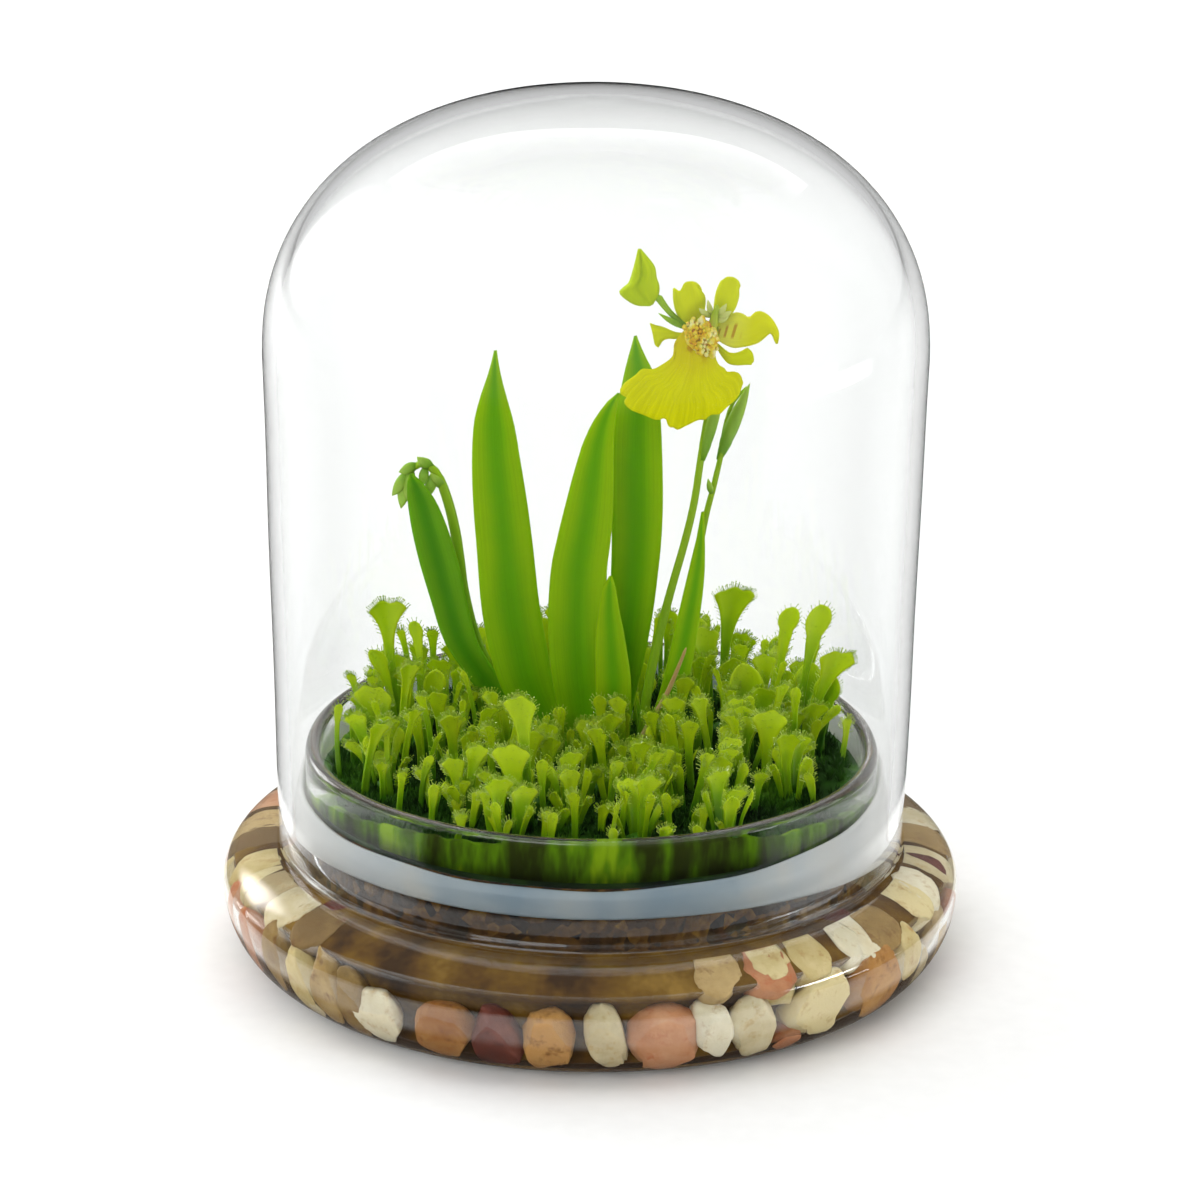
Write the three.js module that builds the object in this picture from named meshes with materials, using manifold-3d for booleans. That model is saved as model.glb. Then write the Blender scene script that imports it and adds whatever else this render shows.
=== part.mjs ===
// Glass plant terrarium: a clear dome over a squat glass base, with a small orchid in flower and
// sundews growing in moss on soil and pebbles. Millimetres, +Z up, the origin at the middle of the
// base's underside. The viewer of the finished object stands on the -Y side.
import * as THREE from "three";
import { mergeVertices } from "three/addons/utils/BufferGeometryUtils.js";
import Module from "manifold-3d";

const wasm = await Module();
wasm.setup();

// ---------------------------------------------------------------- driving dimensions
const GAP = 0.3; // between pieces that touch on the real object
const TURN_STEPS = 36; // sides of a turned shape, a multiple of 4

const BASE_RADIUS = 55; // at the widest
const BASE_WIDEST_Z = 11.3;
const FOOT_RADIUS = 45.8;
const FLOOR_THICK = 3;
const BASE_WALL = 2.4;
const SHOULDER_RADIUS = 46.9;
const SHOULDER_Z = 18;
const CAVITY_TOP_Z = 14.8;
const SEAT_Z = 17.2; // the ledge that the dome stands on
const NECK_RADIUS = 42.6;
const NECK_WALL = 2.2;
const NECK_INSIDE = NECK_RADIUS - NECK_WALL;
const RIM_Z = 33.5;

const DOME_RIM_RADIUS = 46.5;
const DOME_RADIUS = 48.3; // where the crown springs
const DOME_SPRING_Z = 92.5;
const DOME_TOP_Z = 130;
const DOME_WALL = 2;
const CROWN_POWER = 2.26; // 2 is an ellipse, more is squarer

const SEAL_LOW_Z = 22.3;
const SEAL_BAND_Z = 27.6;
const SEAL_LIP_Z = 30.4;

const SOIL_BOTTOM_Z = 14.8;
const SOIL_TOP_Z = 25.6;
const MOSS_TOP_Z = 28.6;
const SLOT_DEPTH = 4; // how far the orchid's stems and leaves stand in the soil

const FAN_BASE_Z = SOIL_TOP_Z - SLOT_DEPTH + GAP;
const CROWN_Z = MOSS_TOP_Z + 0.5; // where a sundew's leaves leave its crown
const CROWN_FOOT_Z = SOIL_TOP_Z + 1.1;
const CROWN_TOP = 0.6; // how far the crown rises round the feet of its leaves
const CROWN_RADIUS = 1.9;
const FOOT_SPREAD = 1.1;

// ---------------------------------------------------------------- helpers
const v3 = (x, y, z) => new THREE.Vector3(x, y, z);

// Seeded numbers between 0 and 1.
function dice(seed) {
  let state = seed;
  return () => {
    state = (state * 16807) % 2147483647;
    return state / 2147483647;
  };
}

// A closed geometry as a solid, turned so that its faces point out.
function solidOf(geometry) {
  const bare = geometry.clone();
  bare.deleteAttribute("normal");
  bare.deleteAttribute("uv");
  const merged = mergeVertices(bare, 1e-4);
  const vertProperties = merged.attributes.position.array;
  const triVerts = new Uint32Array(merged.index.array);
  const make = () =>
    new wasm.Manifold(new wasm.Mesh({ numProp: 3, vertProperties, triVerts }));
  const solid = make();
  if (solid.volume() > 0) return solid;
  for (let i = 0; i < triVerts.length; i += 3)
    [triVerts[i], triVerts[i + 1]] = [triVerts[i + 1], triVerts[i]];
  return make();
}

function geometryOf(solid) {
  const mesh = solid.getMesh();
  const points = new Float32Array(mesh.vertProperties);
  return new THREE.BufferGeometry()
    .setAttribute("position", new THREE.BufferAttribute(points, 3))
    .setIndex(new THREE.BufferAttribute(new Uint32Array(mesh.triVerts), 1))
    .toNonIndexed();
}

const join = (solids) => solids.reduce((all, one) => all.add(one));

// A solid from closed rows of points, each row with the same even number of them, capped at both
// ends. The two long sides of a flat row are split alike.
function loft(rows) {
  const n = rows[0].length;
  const half = n / 2;
  const points = rows.flat();
  const index = [];
  for (let i = 0; i + 1 < rows.length; i++)
    for (let j = 0; j < n; j++) {
      const a = i * n + j;
      const b = i * n + ((j + 1) % n);
      const c = b + n;
      const d = a + n;
      index.push(...(j < half ? [a, b, c, a, c, d] : [a, b, d, b, c, d]));
    }
  const last = (rows.length - 1) * n;
  for (let j = 0; j + 1 < half; j++) {
    const cap = [j, j + 1, n - 2 - j, n - 1 - j];
    index.push(cap[0], cap[2], cap[1], cap[0], cap[3], cap[2]);
    const top = cap.map((k) => k + last);
    index.push(top[0], top[1], top[2], top[0], top[2], top[3]);
  }
  const geometry = new THREE.BufferGeometry().setFromPoints(points);
  return solidOf(geometry.setIndex(index));
}

// A thin blade over the surface at(u, v), with u along it and v across it from 0 to 1.
function sheet(at, rows, columns, thick) {
  const step = 1e-3;
  const rings = [];
  for (let i = 0; i <= rows; i++) {
    const front = [];
    const back = [];
    for (let j = 0; j <= columns; j++) {
      const u = i / rows;
      const v = j / columns;
      const along = at(Math.min(1, u + step), v).sub(at(Math.max(0, u - step), v));
      const across = at(u, Math.min(1, v + step)).sub(at(u, Math.max(0, v - step)));
      const out = along.cross(across).normalize().multiplyScalar(thick / 2);
      front.push(at(u, v).add(out));
      back.unshift(at(u, v).sub(out));
    }
    rings.push([...front, ...back]);
  }
  return loft(rings);
}

// A thin blade cut to an outline of [across, up] points and set in space by place(across, up, out).
function cutBlade(outline, thick, place) {
  const n = outline.length;
  const flat = outline.map(([across, up]) => new THREE.Vector2(across, up));
  const points = [thick / 2, -thick / 2].flatMap((out) =>
    outline.map(([across, up]) => place(across, up, out)));
  const index = THREE.ShapeUtils.triangulateShape(flat, []).flatMap(([a, b, c]) =>
    [a, b, c, a + n, c + n, b + n]);
  for (let k = 0; k < n; k++) {
    const next = (k + 1) % n;
    index.push(k, k + n, next, next, k + n, next + n);
  }
  return solidOf(new THREE.BufferGeometry().setFromPoints(points).setIndex(index));
}

// A round stem through points, as thick as the radii say from its foot to its tip.
function stem(points, radii, sides = 6, rows = 10) {
  const curve = new THREE.CatmullRomCurve3(points.map((p) => v3(...p)));
  const rings = [];
  for (let i = 0; i <= rows; i++) {
    const u = i / rows;
    const along = curve.getTangent(u);
    const side = along.clone().cross(v3(0, 1, 0)).normalize();
    const front = side.clone().cross(along);
    const radius = smooth(radii, u);
    rings.push(
      Array.from({ length: sides }, (_, k) => {
        const angle = (2 * Math.PI * k) / sides;
        return curve
          .getPoint(u)
          .addScaledVector(side, radius * Math.cos(angle))
          .addScaledVector(front, radius * Math.sin(angle));
      }),
    );
  }
  return loft(rings);
}

// A value between the listed ones, which are spaced evenly from u = 0 to 1.
function smooth(values, u) {
  const place = u * (values.length - 1);
  const low = Math.min(values.length - 2, Math.floor(place));
  return THREE.MathUtils.lerp(values[low], values[low + 1], place - low);
}

// Points on an ellipse round (r, z), from one angle to another in degrees.
function arc(r, z, acrossR, acrossZ, from, to, steps) {
  return Array.from({ length: steps + 1 }, (_, k) => {
    const a = THREE.MathUtils.degToRad(from + ((to - from) * k) / steps);
    return [r + acrossR * Math.cos(a), z + acrossZ * Math.sin(a)];
  });
}

// A profile of [radius, height] turned round the Z axis.
function turned(profile, steps = TURN_STEPS) {
  const outline = profile.map(([r, z]) => new THREE.Vector2(r, z));
  return solidOf(new THREE.LatheGeometry(outline, steps).rotateX(Math.PI / 2));
}

// A plain hole: an upright prism to cut away.
function hole(x, y, low, high, across, deep, turn = 0) {
  const box = new THREE.BoxGeometry(across, deep, high - low);
  return solidOf(box.rotateZ(turn).translate(x, y, (low + high) / 2));
}

// The same for a round thing: five-sided, and wide enough that its flats stay clear of the radius.
const HOLE_SIDES = 5;

function roundHole(x, y, low, high, radius) {
  const corner = radius / Math.cos(Math.PI / HOLE_SIDES);
  const rod = new THREE.CylinderGeometry(corner, corner, high - low, HOLE_SIDES);
  return solidOf(rod.rotateX(Math.PI / 2).translate(x, y, (low + high) / 2));
}

const terrarium = new THREE.Group();

function add(name, solid, material) {
  const mesh = new THREE.Mesh(geometryOf(solid), material);
  mesh.name = name;
  terrarium.add(mesh);
}

const paint = (color, roughness, more = {}) =>
  new THREE.MeshStandardMaterial({ color, roughness, metalness: 0, ...more });

const clearGlass = () => paint(0xf2f6f4, 0.03, { transparent: true, opacity: 0.3 });
const silicone = () => paint(0xdfe4e6, 0.45, { transparent: true, opacity: 0.8 });
const gravel = () => paint(0xcdb083, 0.7);
const peat = () => paint(0x4a3a24, 0.95);
const moss = () => paint(0x3f6a1c, 0.95);
const orchidGreen = () => paint(0x5c9a12, 0.4);
const stemGreen = () => paint(0x7fae2a, 0.45);
const sundewGreen = () => paint(0x86b71c, 0.5);
const petalYellow = () => paint(0xd8d413, 0.45);
const callusCream = () => paint(0xe8d27a, 0.5);
const driedStem = () => paint(0xb7a97c, 0.8);

// ---------------------------------------------------------------- glass and seal
function baseProfile() {
  const inside = BASE_RADIUS - BASE_WALL;
  return [
    [0, 0],
    ...arc(FOOT_RADIUS, BASE_WIDEST_Z, BASE_RADIUS - FOOT_RADIUS, BASE_WIDEST_Z, -90, 0, 4),
    ...arc(SHOULDER_RADIUS, BASE_WIDEST_Z, BASE_RADIUS - SHOULDER_RADIUS,
      SHOULDER_Z - BASE_WIDEST_Z, 0, 90, 3).slice(1),
    [SHOULDER_RADIUS, SEAT_Z],
    [NECK_RADIUS, SEAT_Z],
    [NECK_RADIUS, RIM_Z - 0.6],
    [NECK_RADIUS - 0.6, RIM_Z],
    [NECK_INSIDE + 0.6, RIM_Z],
    [NECK_INSIDE, RIM_Z - 0.6],
    [NECK_INSIDE, CAVITY_TOP_Z],
    ...arc(SHOULDER_RADIUS - 0.6, BASE_WIDEST_Z, inside - SHOULDER_RADIUS + 0.6,
      CAVITY_TOP_Z - BASE_WIDEST_Z, 90, 0, 3),
    ...arc(FOOT_RADIUS, BASE_WIDEST_Z, inside - FOOT_RADIUS,
      BASE_WIDEST_Z - FLOOR_THICK, 0, -90, 3).slice(1),
    [0, FLOOR_THICK],
  ];
}

// The crown is a superellipse above the spring line.
function crown(radius, topZ, steps) {
  const power = 2 / CROWN_POWER;
  return Array.from({ length: steps + 1 }, (_, k) => {
    const a = (Math.PI / 2) * (1 - k / steps);
    return [
      k === 0 ? 0 : radius * Math.cos(a) ** power,
      DOME_SPRING_Z + (topZ - DOME_SPRING_Z) * Math.sin(a) ** power,
    ];
  });
}

function domeProfile() {
  const rimZ = SEAT_Z + GAP;
  const rimInside = DOME_RIM_RADIUS - DOME_WALL;
  return [
    ...crown(DOME_RADIUS, DOME_TOP_Z, 7),
    [DOME_RIM_RADIUS, rimZ + 0.7],
    [DOME_RIM_RADIUS - 0.7, rimZ],
    [rimInside + 0.7, rimZ],
    [rimInside, rimZ + 0.7],
    ...crown(DOME_RADIUS - DOME_WALL, DOME_TOP_Z - DOME_WALL, 7).reverse(),
  ];
}

// The dome's inner radius at a height below the spring line.
function domeInside(z) {
  const share = (z - SEAT_Z) / (DOME_SPRING_Z - SEAT_Z);
  return DOME_RIM_RADIUS - DOME_WALL + share * (DOME_RADIUS - DOME_RIM_RADIUS);
}

function sealProfile() {
  const inner = NECK_RADIUS + GAP;
  const outer = domeInside(SEAL_LOW_Z) - GAP;
  return [
    [inner, SEAL_LOW_Z],
    [outer, SEAL_LOW_Z],
    [outer, SEAL_BAND_Z],
    [inner + 0.5, SEAL_LIP_Z],
    [inner, SEAL_LIP_Z],
    [inner, SEAL_LOW_Z],
  ];
}

// ---------------------------------------------------------------- pebbles
const PEBBLE_RINGS = [
  // pebbles, radius of the ring, height, size across
  [24, 47.2, 7.4, 10.6],
  [24, 45.9, 12.2, 9.0],
];
const BED_RADIUS = 44.8;
const BED_MARGIN = 0.9; // between a pebble and the curve of the glass

// How far out a pebble may reach at a height, inside the bulge of the base's cavity.
function bulgeRadius(z) {
  const above = z > BASE_WIDEST_Z;
  const middle = above ? SHOULDER_RADIUS - 0.6 : FOOT_RADIUS;
  const tall = (above ? CAVITY_TOP_Z - BASE_WIDEST_Z : BASE_WIDEST_Z - FLOOR_THICK) - BED_MARGIN;
  const wide = BASE_RADIUS - BASE_WALL - middle - BED_MARGIN;
  const share = Math.min(1, Math.abs(z - BASE_WIDEST_Z) / tall);
  return middle + wide * Math.sqrt(1 - share * share);
}

// A chipped, rounded stone, pressed in where it would reach the glass.
function pebble(x, y, z, size, roll) {
  const shape = new THREE.IcosahedronGeometry(size / 2, 0);
  const points = shape.attributes.position;
  const bumps = new Map();
  const spot = v3();
  for (let i = 0; i < points.count; i++) {
    spot.fromBufferAttribute(points, i);
    const key = spot.toArray().map((c) => c.toFixed(2)).join();
    if (!bumps.has(key)) bumps.set(key, 0.88 + 0.34 * roll());
    spot.multiplyScalar(bumps.get(key));
    points.setXYZ(i, spot.x, spot.y, spot.z);
  }
  shape.scale(1, 0.82 + 0.2 * roll(), 0.86 + 0.2 * roll());
  shape.rotateX(3 * roll()).rotateZ(6 * roll()).translate(x, y, z);
  for (let i = 0; i < points.count; i++) {
    spot.fromBufferAttribute(points, i);
    spot.z = THREE.MathUtils.clamp(spot.z, FLOOR_THICK + BED_MARGIN, CAVITY_TOP_Z - BED_MARGIN);
    const reach = Math.hypot(spot.x, spot.y);
    const pull = Math.min(1, bulgeRadius(spot.z) / reach);
    points.setXYZ(i, spot.x * pull, spot.y * pull, spot.z);
  }
  return solidOf(shape);
}

function pebbleBed() {
  const roll = dice(4711);
  const top = SOIL_BOTTOM_Z - GAP;
  const stones = [
    turned([[0, FLOOR_THICK + GAP], [BED_RADIUS, FLOOR_THICK + GAP], [BED_RADIUS, top - 1],
      [BED_RADIUS - 6, top], [0, top]], TURN_STEPS / 2),
  ];
  PEBBLE_RINGS.forEach(([count, radius, z, size], ring) => {
    for (let k = 0; k < count; k++) {
      const angle = (2 * Math.PI * (k + ring / 2 + 0.25 * roll())) / count;
      const r = radius - 1.2 * roll();
      const across = size * (0.86 + 0.26 * roll());
      stones.push(pebble(r * Math.cos(angle), r * Math.sin(angle), z + roll(), across, roll));
    }
  });
  return join(stones);
}

// ---------------------------------------------------------------- orchid leaves and stems
// Each leaf: how far behind the fan's middle it stands, its turn in degrees, how deeply it is
// folded, and its middle line from the soil to the tip as [x, height above the base, half width].
const ORCHID_LEAVES = {
  orchid_leaf_outer: { y: 3.6, turn: -12, fold: 0.25, line: [
    [-6.4, FAN_BASE_Z, 1.5], [-8.2, 29, 1.7], [-11.2, 35, 2.0], [-15.3, 41, 2.3],
    [-19.3, 48, 2.6], [-22.2, 56, 2.8], [-24.4, 63.5, 2.5], [-26.1, 70, 1.4], [-27.1, 74.2, 0.3]] },
  orchid_leaf_tall_left: { y: 1.3, turn: 8, fold: 0.2, line: [
    [-2.4, FAN_BASE_Z, 1.6], [-3.0, 29, 2.1], [-5.6, 37, 3.1], [-9.3, 45.5, 3.9],
    [-11.6, 54, 4.4], [-12.9, 63, 4.6], [-13.8, 72, 4.3], [-14.4, 80.5, 3.3],
    [-14.7, 87, 1.8], [-14.6, 92.2, 0.3]] },
  orchid_leaf_middle: { y: -1.0, turn: -6, fold: 0.3, line: [
    [1.4, FAN_BASE_Z, 1.6], [1.0, 29, 2.3], [-0.9, 38, 3.3], [-2.6, 47, 4.0],
    [-2.6, 55, 4.1], [-1.9, 63, 3.8], [-0.8, 71, 3.2], [0.4, 79, 2.3], [1.9, 84.5, 1.1],
    [2.9, 86.4, 0.3]] },
  orchid_leaf_small: { y: 1.1, turn: 4, fold: 0.2, line: [
    [3.4, FAN_BASE_Z, 1.3], [2.9, 32, 1.7], [2.2, 42, 1.8], [1.9, 51, 1.3], [2.1, 58.2, 0.3]] },
  orchid_leaf_tall_right: { y: 3.4, turn: -4, fold: 0.2, line: [
    [4.6, FAN_BASE_Z, 1.6], [4.4, 30, 2.3], [4.6, 40, 2.8], [5.2, 50, 3.1], [6.0, 60, 3.4],
    [6.4, 69, 3.8], [6.5, 77, 3.5], [6.2, 84, 2.6], [5.7, 90, 1.4], [5.5, 94.4, 0.3]] },
  orchid_sheath_leaf: { y: 0.9, turn: 12, fold: 0.2, line: [
    [8.6, FAN_BASE_Z, 1.3], [9.8, 32, 1.7], [12.2, 41, 1.8], [14.0, 51, 1.5],
    [15.3, 60, 1.0], [15.9, 68.1, 0.3]] },
};
const LEAF_THICK = 0.9;

function orchidLeaf({ y, turn, fold, line }) {
  const middle = new THREE.CatmullRomCurve3(line.map(([x, z]) => v3(x, y, z)));
  const yaw = THREE.MathUtils.degToRad(turn);
  const side = v3(Math.cos(yaw), Math.sin(yaw), 0);
  const halves = line.map((station) => station[2]);
  const at = (u, v) => {
    const out = (2 * v - 1) * smooth(halves, u);
    return middle.getPoint(u).addScaledVector(side, out).add(v3(0, -fold * Math.abs(out), 0));
  };
  return sheet(at, line.length, 2, LEAF_THICK);
}

// The slot that a leaf of the fan stands in.
function leafSlot({ y, turn, line }) {
  const [x, low, half] = line[0];
  const across = 2 * half + 2.6;
  const yaw = THREE.MathUtils.degToRad(turn);
  return hole(x + (line[1][0] - x) / 2, y - 0.3, low - GAP, RIM_Z, across, 2.3, yaw);
}

const STEMS = {
  flower_stalk: {
    points: [[6.6, -1.2, FAN_BASE_Z], [7.9, -1.0, 38.7], [9.5, -0.8, 48], [11.3, -0.6, 56],
      [13.3, -0.4, 63.8], [14.6, -0.2, 70], [15.6, 0, 77.7], [16.5, 0.4, 84], [16.9, 0.8, 90],
      [16.3, 0.2, 94.2]],
    radii: [0.75, 0.8, 0.7, 0.6, 0.55, 0.5, 0.5], rows: 14,
  },
  second_stalk: {
    points: [[9.9, 3.4, FAN_BASE_Z], [12.0, 3.3, 41], [14.3, 3.2, 54], [16.4, 3.0, 66.5],
      [17.4, 2.8, 71], [18.5, 2.4, 76.5], [19.0, 2.2, 80.5], [20.0, 2.0, 84.2], [22.0, 1.8, 86.9]],
    radii: [0.7, 0.65, 0.6, 0.5, 0.45, 0.35], rows: 12,
  },
  spent_spray: {
    points: [[-9.4, 6.6, FAN_BASE_Z], [-12.6, 6.8, 36], [-16.2, 6.6, 45], [-18.4, 6.4, 53],
      [-19.8, 6.1, 60.5], [-21.2, 5.9, 67.5], [-22.8, 5.7, 72.6], [-24.8, 5.6, 75.5],
      [-27.4, 5.6, 74.6], [-29.0, 5.6, 71.8]],
    radii: [0.6, 0.55, 0.5, 0.45, 0.4], rows: 14,
  },
  dried_stalk: {
    points: [[5.6, -4.6, FAN_BASE_Z + 1], [6.8, -4.6, 33], [9.2, -4.4, 38.2], [11.0, -4.2, 41.6],
      [12.9, -3.9, 46.4], [13.7, -3.7, 48.6]],
    radii: [0.4, 0.45, 0.4, 0.35, 0.3], rows: 8,
  },
};

// Small leaf-like bracts: [foot], [tip], half width. They sit where the side flowers were.
const BRACTS = {
  second_stalk: [
    [[17.2, 2.6, 70.4], [16.2, 1.2, 73.6], 0.6],
    [[19.0, 2.2, 80.5], [21.4, 0.9, 84.4], 0.8],
    [[20.4, 2.0, 84.6], [19.4, 0.6, 87.6], 0.6],
    [[21.6, 1.8, 86.4], [22.9, 0.8, 90.0], 0.8],
  ],
  spent_spray: [
    [[-22.6, 5.7, 72.0], [-20.6, 4.4, 74.6], 0.7],
    [[-24.4, 5.6, 75.2], [-23.6, 4.6, 78.4], 0.8],
    [[-26.0, 5.6, 75.2], [-27.6, 4.6, 77.6], 0.8],
    [[-27.6, 5.6, 74.4], [-30.4, 4.6, 75.2], 0.9],
    [[-28.6, 5.6, 72.8], [-30.6, 4.8, 71.2], 0.9],
    [[-28.9, 5.6, 72.2], [-28.3, 4.4, 68.9], 0.8],
  ],
};

function bract([foot, tip, half]) {
  const [a, b] = [v3(...foot), v3(...tip)];
  const side = b.clone().sub(a).cross(v3(0, 1, 0)).normalize();
  const halves = [0.35, half, 0.25];
  const at = (u, v) => a.clone().lerp(b, u).addScaledVector(side, (2 * v - 1) * smooth(halves, u));
  return sheet(at, 2, 1, 0.6);
}

function stalk(name) {
  const { points, radii, rows } = STEMS[name];
  const bracts = (BRACTS[name] ?? []).map(bract);
  return join([stem(points, radii, 6, rows), ...bracts]);
}

// ---------------------------------------------------------------- the flower
const FLOWER = v3(16.0, -1.6, 95.2); // where the petals meet
const LIP_TOP = v3(15.9, -2.5, 93.8);

// Each petal: its direction in the flower's plane in degrees from +X, length, half widths from
// claw to tip, and how far it bends forward.
const PETALS = [
  { angle: 116, length: 8.2, halves: [0.6, 1.3, 2.4, 1.6], bend: 0.6 }, // upper left petal
  { angle: 64, length: 9.2, halves: [0.6, 1.1, 2.1, 1.2], bend: 0.4 }, // upper right petal
  { angle: 2, length: 10.2, halves: [0.6, 1.6, 2.7, 0.7], bend: 1.2 }, // folded right petal
  { angle: -32, length: 7.4, halves: [0.5, 0.9, 1.3, 0.5], bend: 0.5 }, // lower right sepal
  { angle: 174, length: 8.0, halves: [0.5, 0.9, 1.6, 0.6], bend: 0.5 }, // left sepal
];

function petal({ angle, length, halves, bend }) {
  const a = THREE.MathUtils.degToRad(angle);
  const along = v3(Math.cos(a), 0, Math.sin(a));
  const side = v3(-Math.sin(a), 0, Math.cos(a));
  const at = (u, v) => {
    const out = (2 * v - 1) * smooth(halves, u);
    const forward = bend * (u * u * 2 + 0.35 * Math.abs(out)) + 0.5 * (1 - u);
    return FLOWER.clone().addScaledVector(along, length * u).addScaledVector(side, out)
      .add(v3(0, -forward, 0));
  };
  return sheet(at, 3, 2, 0.7);
}

function petals() {
  const middle = new THREE.OctahedronGeometry(1.1, 1).translate(FLOWER.x, FLOWER.y, FLOWER.z);
  return join([solidOf(middle), ...PETALS.map(petal)]);
}

// The broad lip: a skirt that fans out below the column and turns forward at its waved edge.
const LIP = { from: -150, to: -42, reach: [14.0, 13.0, 12.3, 11.9, 11.5, 10.8, 10.0, 9.0, 8.4] };

function lip() {
  const at = (u, v) => {
    const a = THREE.MathUtils.degToRad(THREE.MathUtils.lerp(LIP.from, LIP.to, v));
    const grow = 0.1 + 0.9 * u;
    const wave = 0.45 * u * Math.sin(v * 6 * Math.PI);
    const reach = smooth(LIP.reach, v) * grow;
    const round = (2 * v - 1) ** 2;
    const forward = 2.6 * u * u + wave - 1.4 * round * u;
    return LIP_TOP.clone().add(v3(reach * Math.cos(a), -forward, reach * Math.sin(a)));
  };
  return sheet(at, 3, 8, 0.7);
}

// The column with its warty callus, at the top of the lip.
function column() {
  const knob = new THREE.IcosahedronGeometry(1.35, 0).scale(1.1, 1, 1.25);
  const hood = new THREE.IcosahedronGeometry(1.0, 0).scale(1, 1.1, 1.3);
  return join([
    solidOf(knob.translate(FLOWER.x + 0.2, FLOWER.y - 2.7, FLOWER.z + 0.1)),
    solidOf(hood.translate(FLOWER.x + 0.7, FLOWER.y - 2.5, FLOWER.z + 1.5)),
    solidOf(new THREE.OctahedronGeometry(0.9).translate(FLOWER.x - 1.2, FLOWER.y - 2.7, FLOWER.z + 0.2)),
  ]);
}

// The bud: a folded, pointed hood on its own short stalk.
function bud() {
  const rows = [[0, 0.5], [0.2, 2.4], [0.45, 2.9], [0.75, 1.6], [1, 0.3]];
  const [foot, tip] = [v3(7.6, -1.6, 99.4), v3(5.9, -1.6, 108.1)];
  const along = tip.clone().sub(foot);
  const side = v3(along.z, 0, -along.x).normalize();
  const rings = rows.map(([u, half]) =>
    [0, 60, 120, 180, 240, 300].map((degrees) => {
      const a = THREE.MathUtils.degToRad(degrees);
      const middle = foot.clone().addScaledVector(along, u).addScaledVector(side, -0.45 * half);
      return middle.addScaledVector(side, half * Math.cos(a))
        .add(v3(0, -0.62 * half * Math.sin(a), 0));
    }),
  );
  const pedicel = [[14.15, -1.2, 96.4], [12.0, -1.3, 97.5], [9.6, -1.5, 99.6], [7.4, -1.6, 101.2]];
  return join([loft(rings), stem(pedicel, [0.45, 0.4, 0.45], 6, 4)]);
}

// ---------------------------------------------------------------- sundews
// A leaf of a sundew: a narrow stalk that opens into a spoon, or into a fan with a toothed edge.
// The right edge, the top and the left edge as [across, up], in shares of half width and length.
const SPOON = [[0.95, 0.8], [0.45, 1], [-0.5, 1], [-0.95, 0.78]];
const FAN = [[0.24, 0.42], [1, 0.92], [0.5, 0.99], [0.15, 0.93], [-0.4, 1.02], [-1, 0.97],
  [-0.24, 0.42]];
const SUNDEW_THICK = 0.65;
const STALK_HALF = 0.42;

function sundewLeaf({ foot, tip, half, turn, fan = false }) {
  const rise = v3((foot.x + tip.x) / 2, (foot.y + tip.y) / 2, foot.z + 0.6 * (tip.z - foot.z));
  const middle = new THREE.QuadraticBezierCurve3(foot, rise, tip);
  const side = v3(Math.cos(turn), Math.sin(turn), 0);
  const stalkShare = STALK_HALF / half;
  const outline = [[-stalkShare, 0], [stalkShare, 0], ...(fan ? FAN : SPOON)];
  return cutBlade(outline, SUNDEW_THICK, (across, up, out) => {
    const u = Math.min(1, up);
    const front = side.clone().cross(middle.getTangent(u));
    return middle.getPoint(u).addScaledVector(side, across * half).addScaledVector(front, out)
      .add(v3(0, 0, (up - u) * (tip.z - foot.z)));
  });
}

// The crown that a sundew's leaves grow from, rooted in the moss.
function crownStub(x, y) {
  const tall = CROWN_Z + CROWN_TOP - CROWN_FOOT_Z;
  const cone = new THREE.CylinderGeometry(CROWN_RADIUS, 0.8 * CROWN_RADIUS, tall, 5);
  return solidOf(cone.rotateX(Math.PI / 2).translate(x, y, CROWN_FOOT_Z + tall / 2));
}

// Where a leaf leaves its crown: near the crown's edge, on the side that the leaf leans to.
function leafFoot(x, y, tip) {
  const [dx, dy] = [tip.x - x, tip.y - y];
  const out = Math.min(1, FOOT_SPREAD / Math.hypot(dx, dy));
  return v3(x + out * dx, y + out * dy, CROWN_Z);
}

// The plants that stand out above the rest: crown, then leaves as [tip x, y, z], half width,
// turn in degrees and whether the leaf is a fan.
const TALL_SUNDEWS = {
  sundew_tall_left: { crown: [-26.5, 8.5], leaves: [
    [[-31.4, 12.5, 49.6], 2.9, 10, true], [[-33.6, 7.5, 43.6], 1.5, 40, false],
    [[-27.0, 14.0, 46.0], 1.2, -20, false], [[-23.5, 5.5, 41.0], 1.7, 0, false]] },
  sundew_tall_back: { crown: [-15.5, 15.5], leaves: [
    [[-18.6, 17.5, 43.6], 3.0, 15, true], [[-12.2, 17.0, 42.4], 2.2, -10, true],
    [[-15.0, 11.6, 39.0], 1.5, 0, false]] },
  sundew_broad_right: { crown: [19.4, 15.2], leaves: [
    [[22.0, 18.6, 50.2], 3.1, -8, true], [[16.6, 17.4, 44.0], 2.6, 12, true],
    [[21.6, 11.4, 41.2], 2.4, 0, true]] },
  sundew_lobed_right: { crown: [27.6, 5.2], leaves: [
    [[30.0, 9.6, 50.4], 1.6, -15, false], [[34.4, 7.6, 51.4], 2.0, 10, false],
    [[37.2, 3.0, 45.4], 2.8, -20, true], [[36.6, -1.0, 38.4], 1.1, 20, false],
    [[25.2, 1.4, 41.0], 2.4, 5, true]] },
};

function tallSundew({ crown: [x, y], leaves }) {
  const blades = leaves.map(([place, half, degrees, fan]) => {
    const tip = v3(...place);
    return sundewLeaf({
      foot: leafFoot(x, y, tip), tip, half, turn: THREE.MathUtils.degToRad(degrees), fan,
    });
  });
  return join([crownStub(x, y), ...blades]);
}

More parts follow.
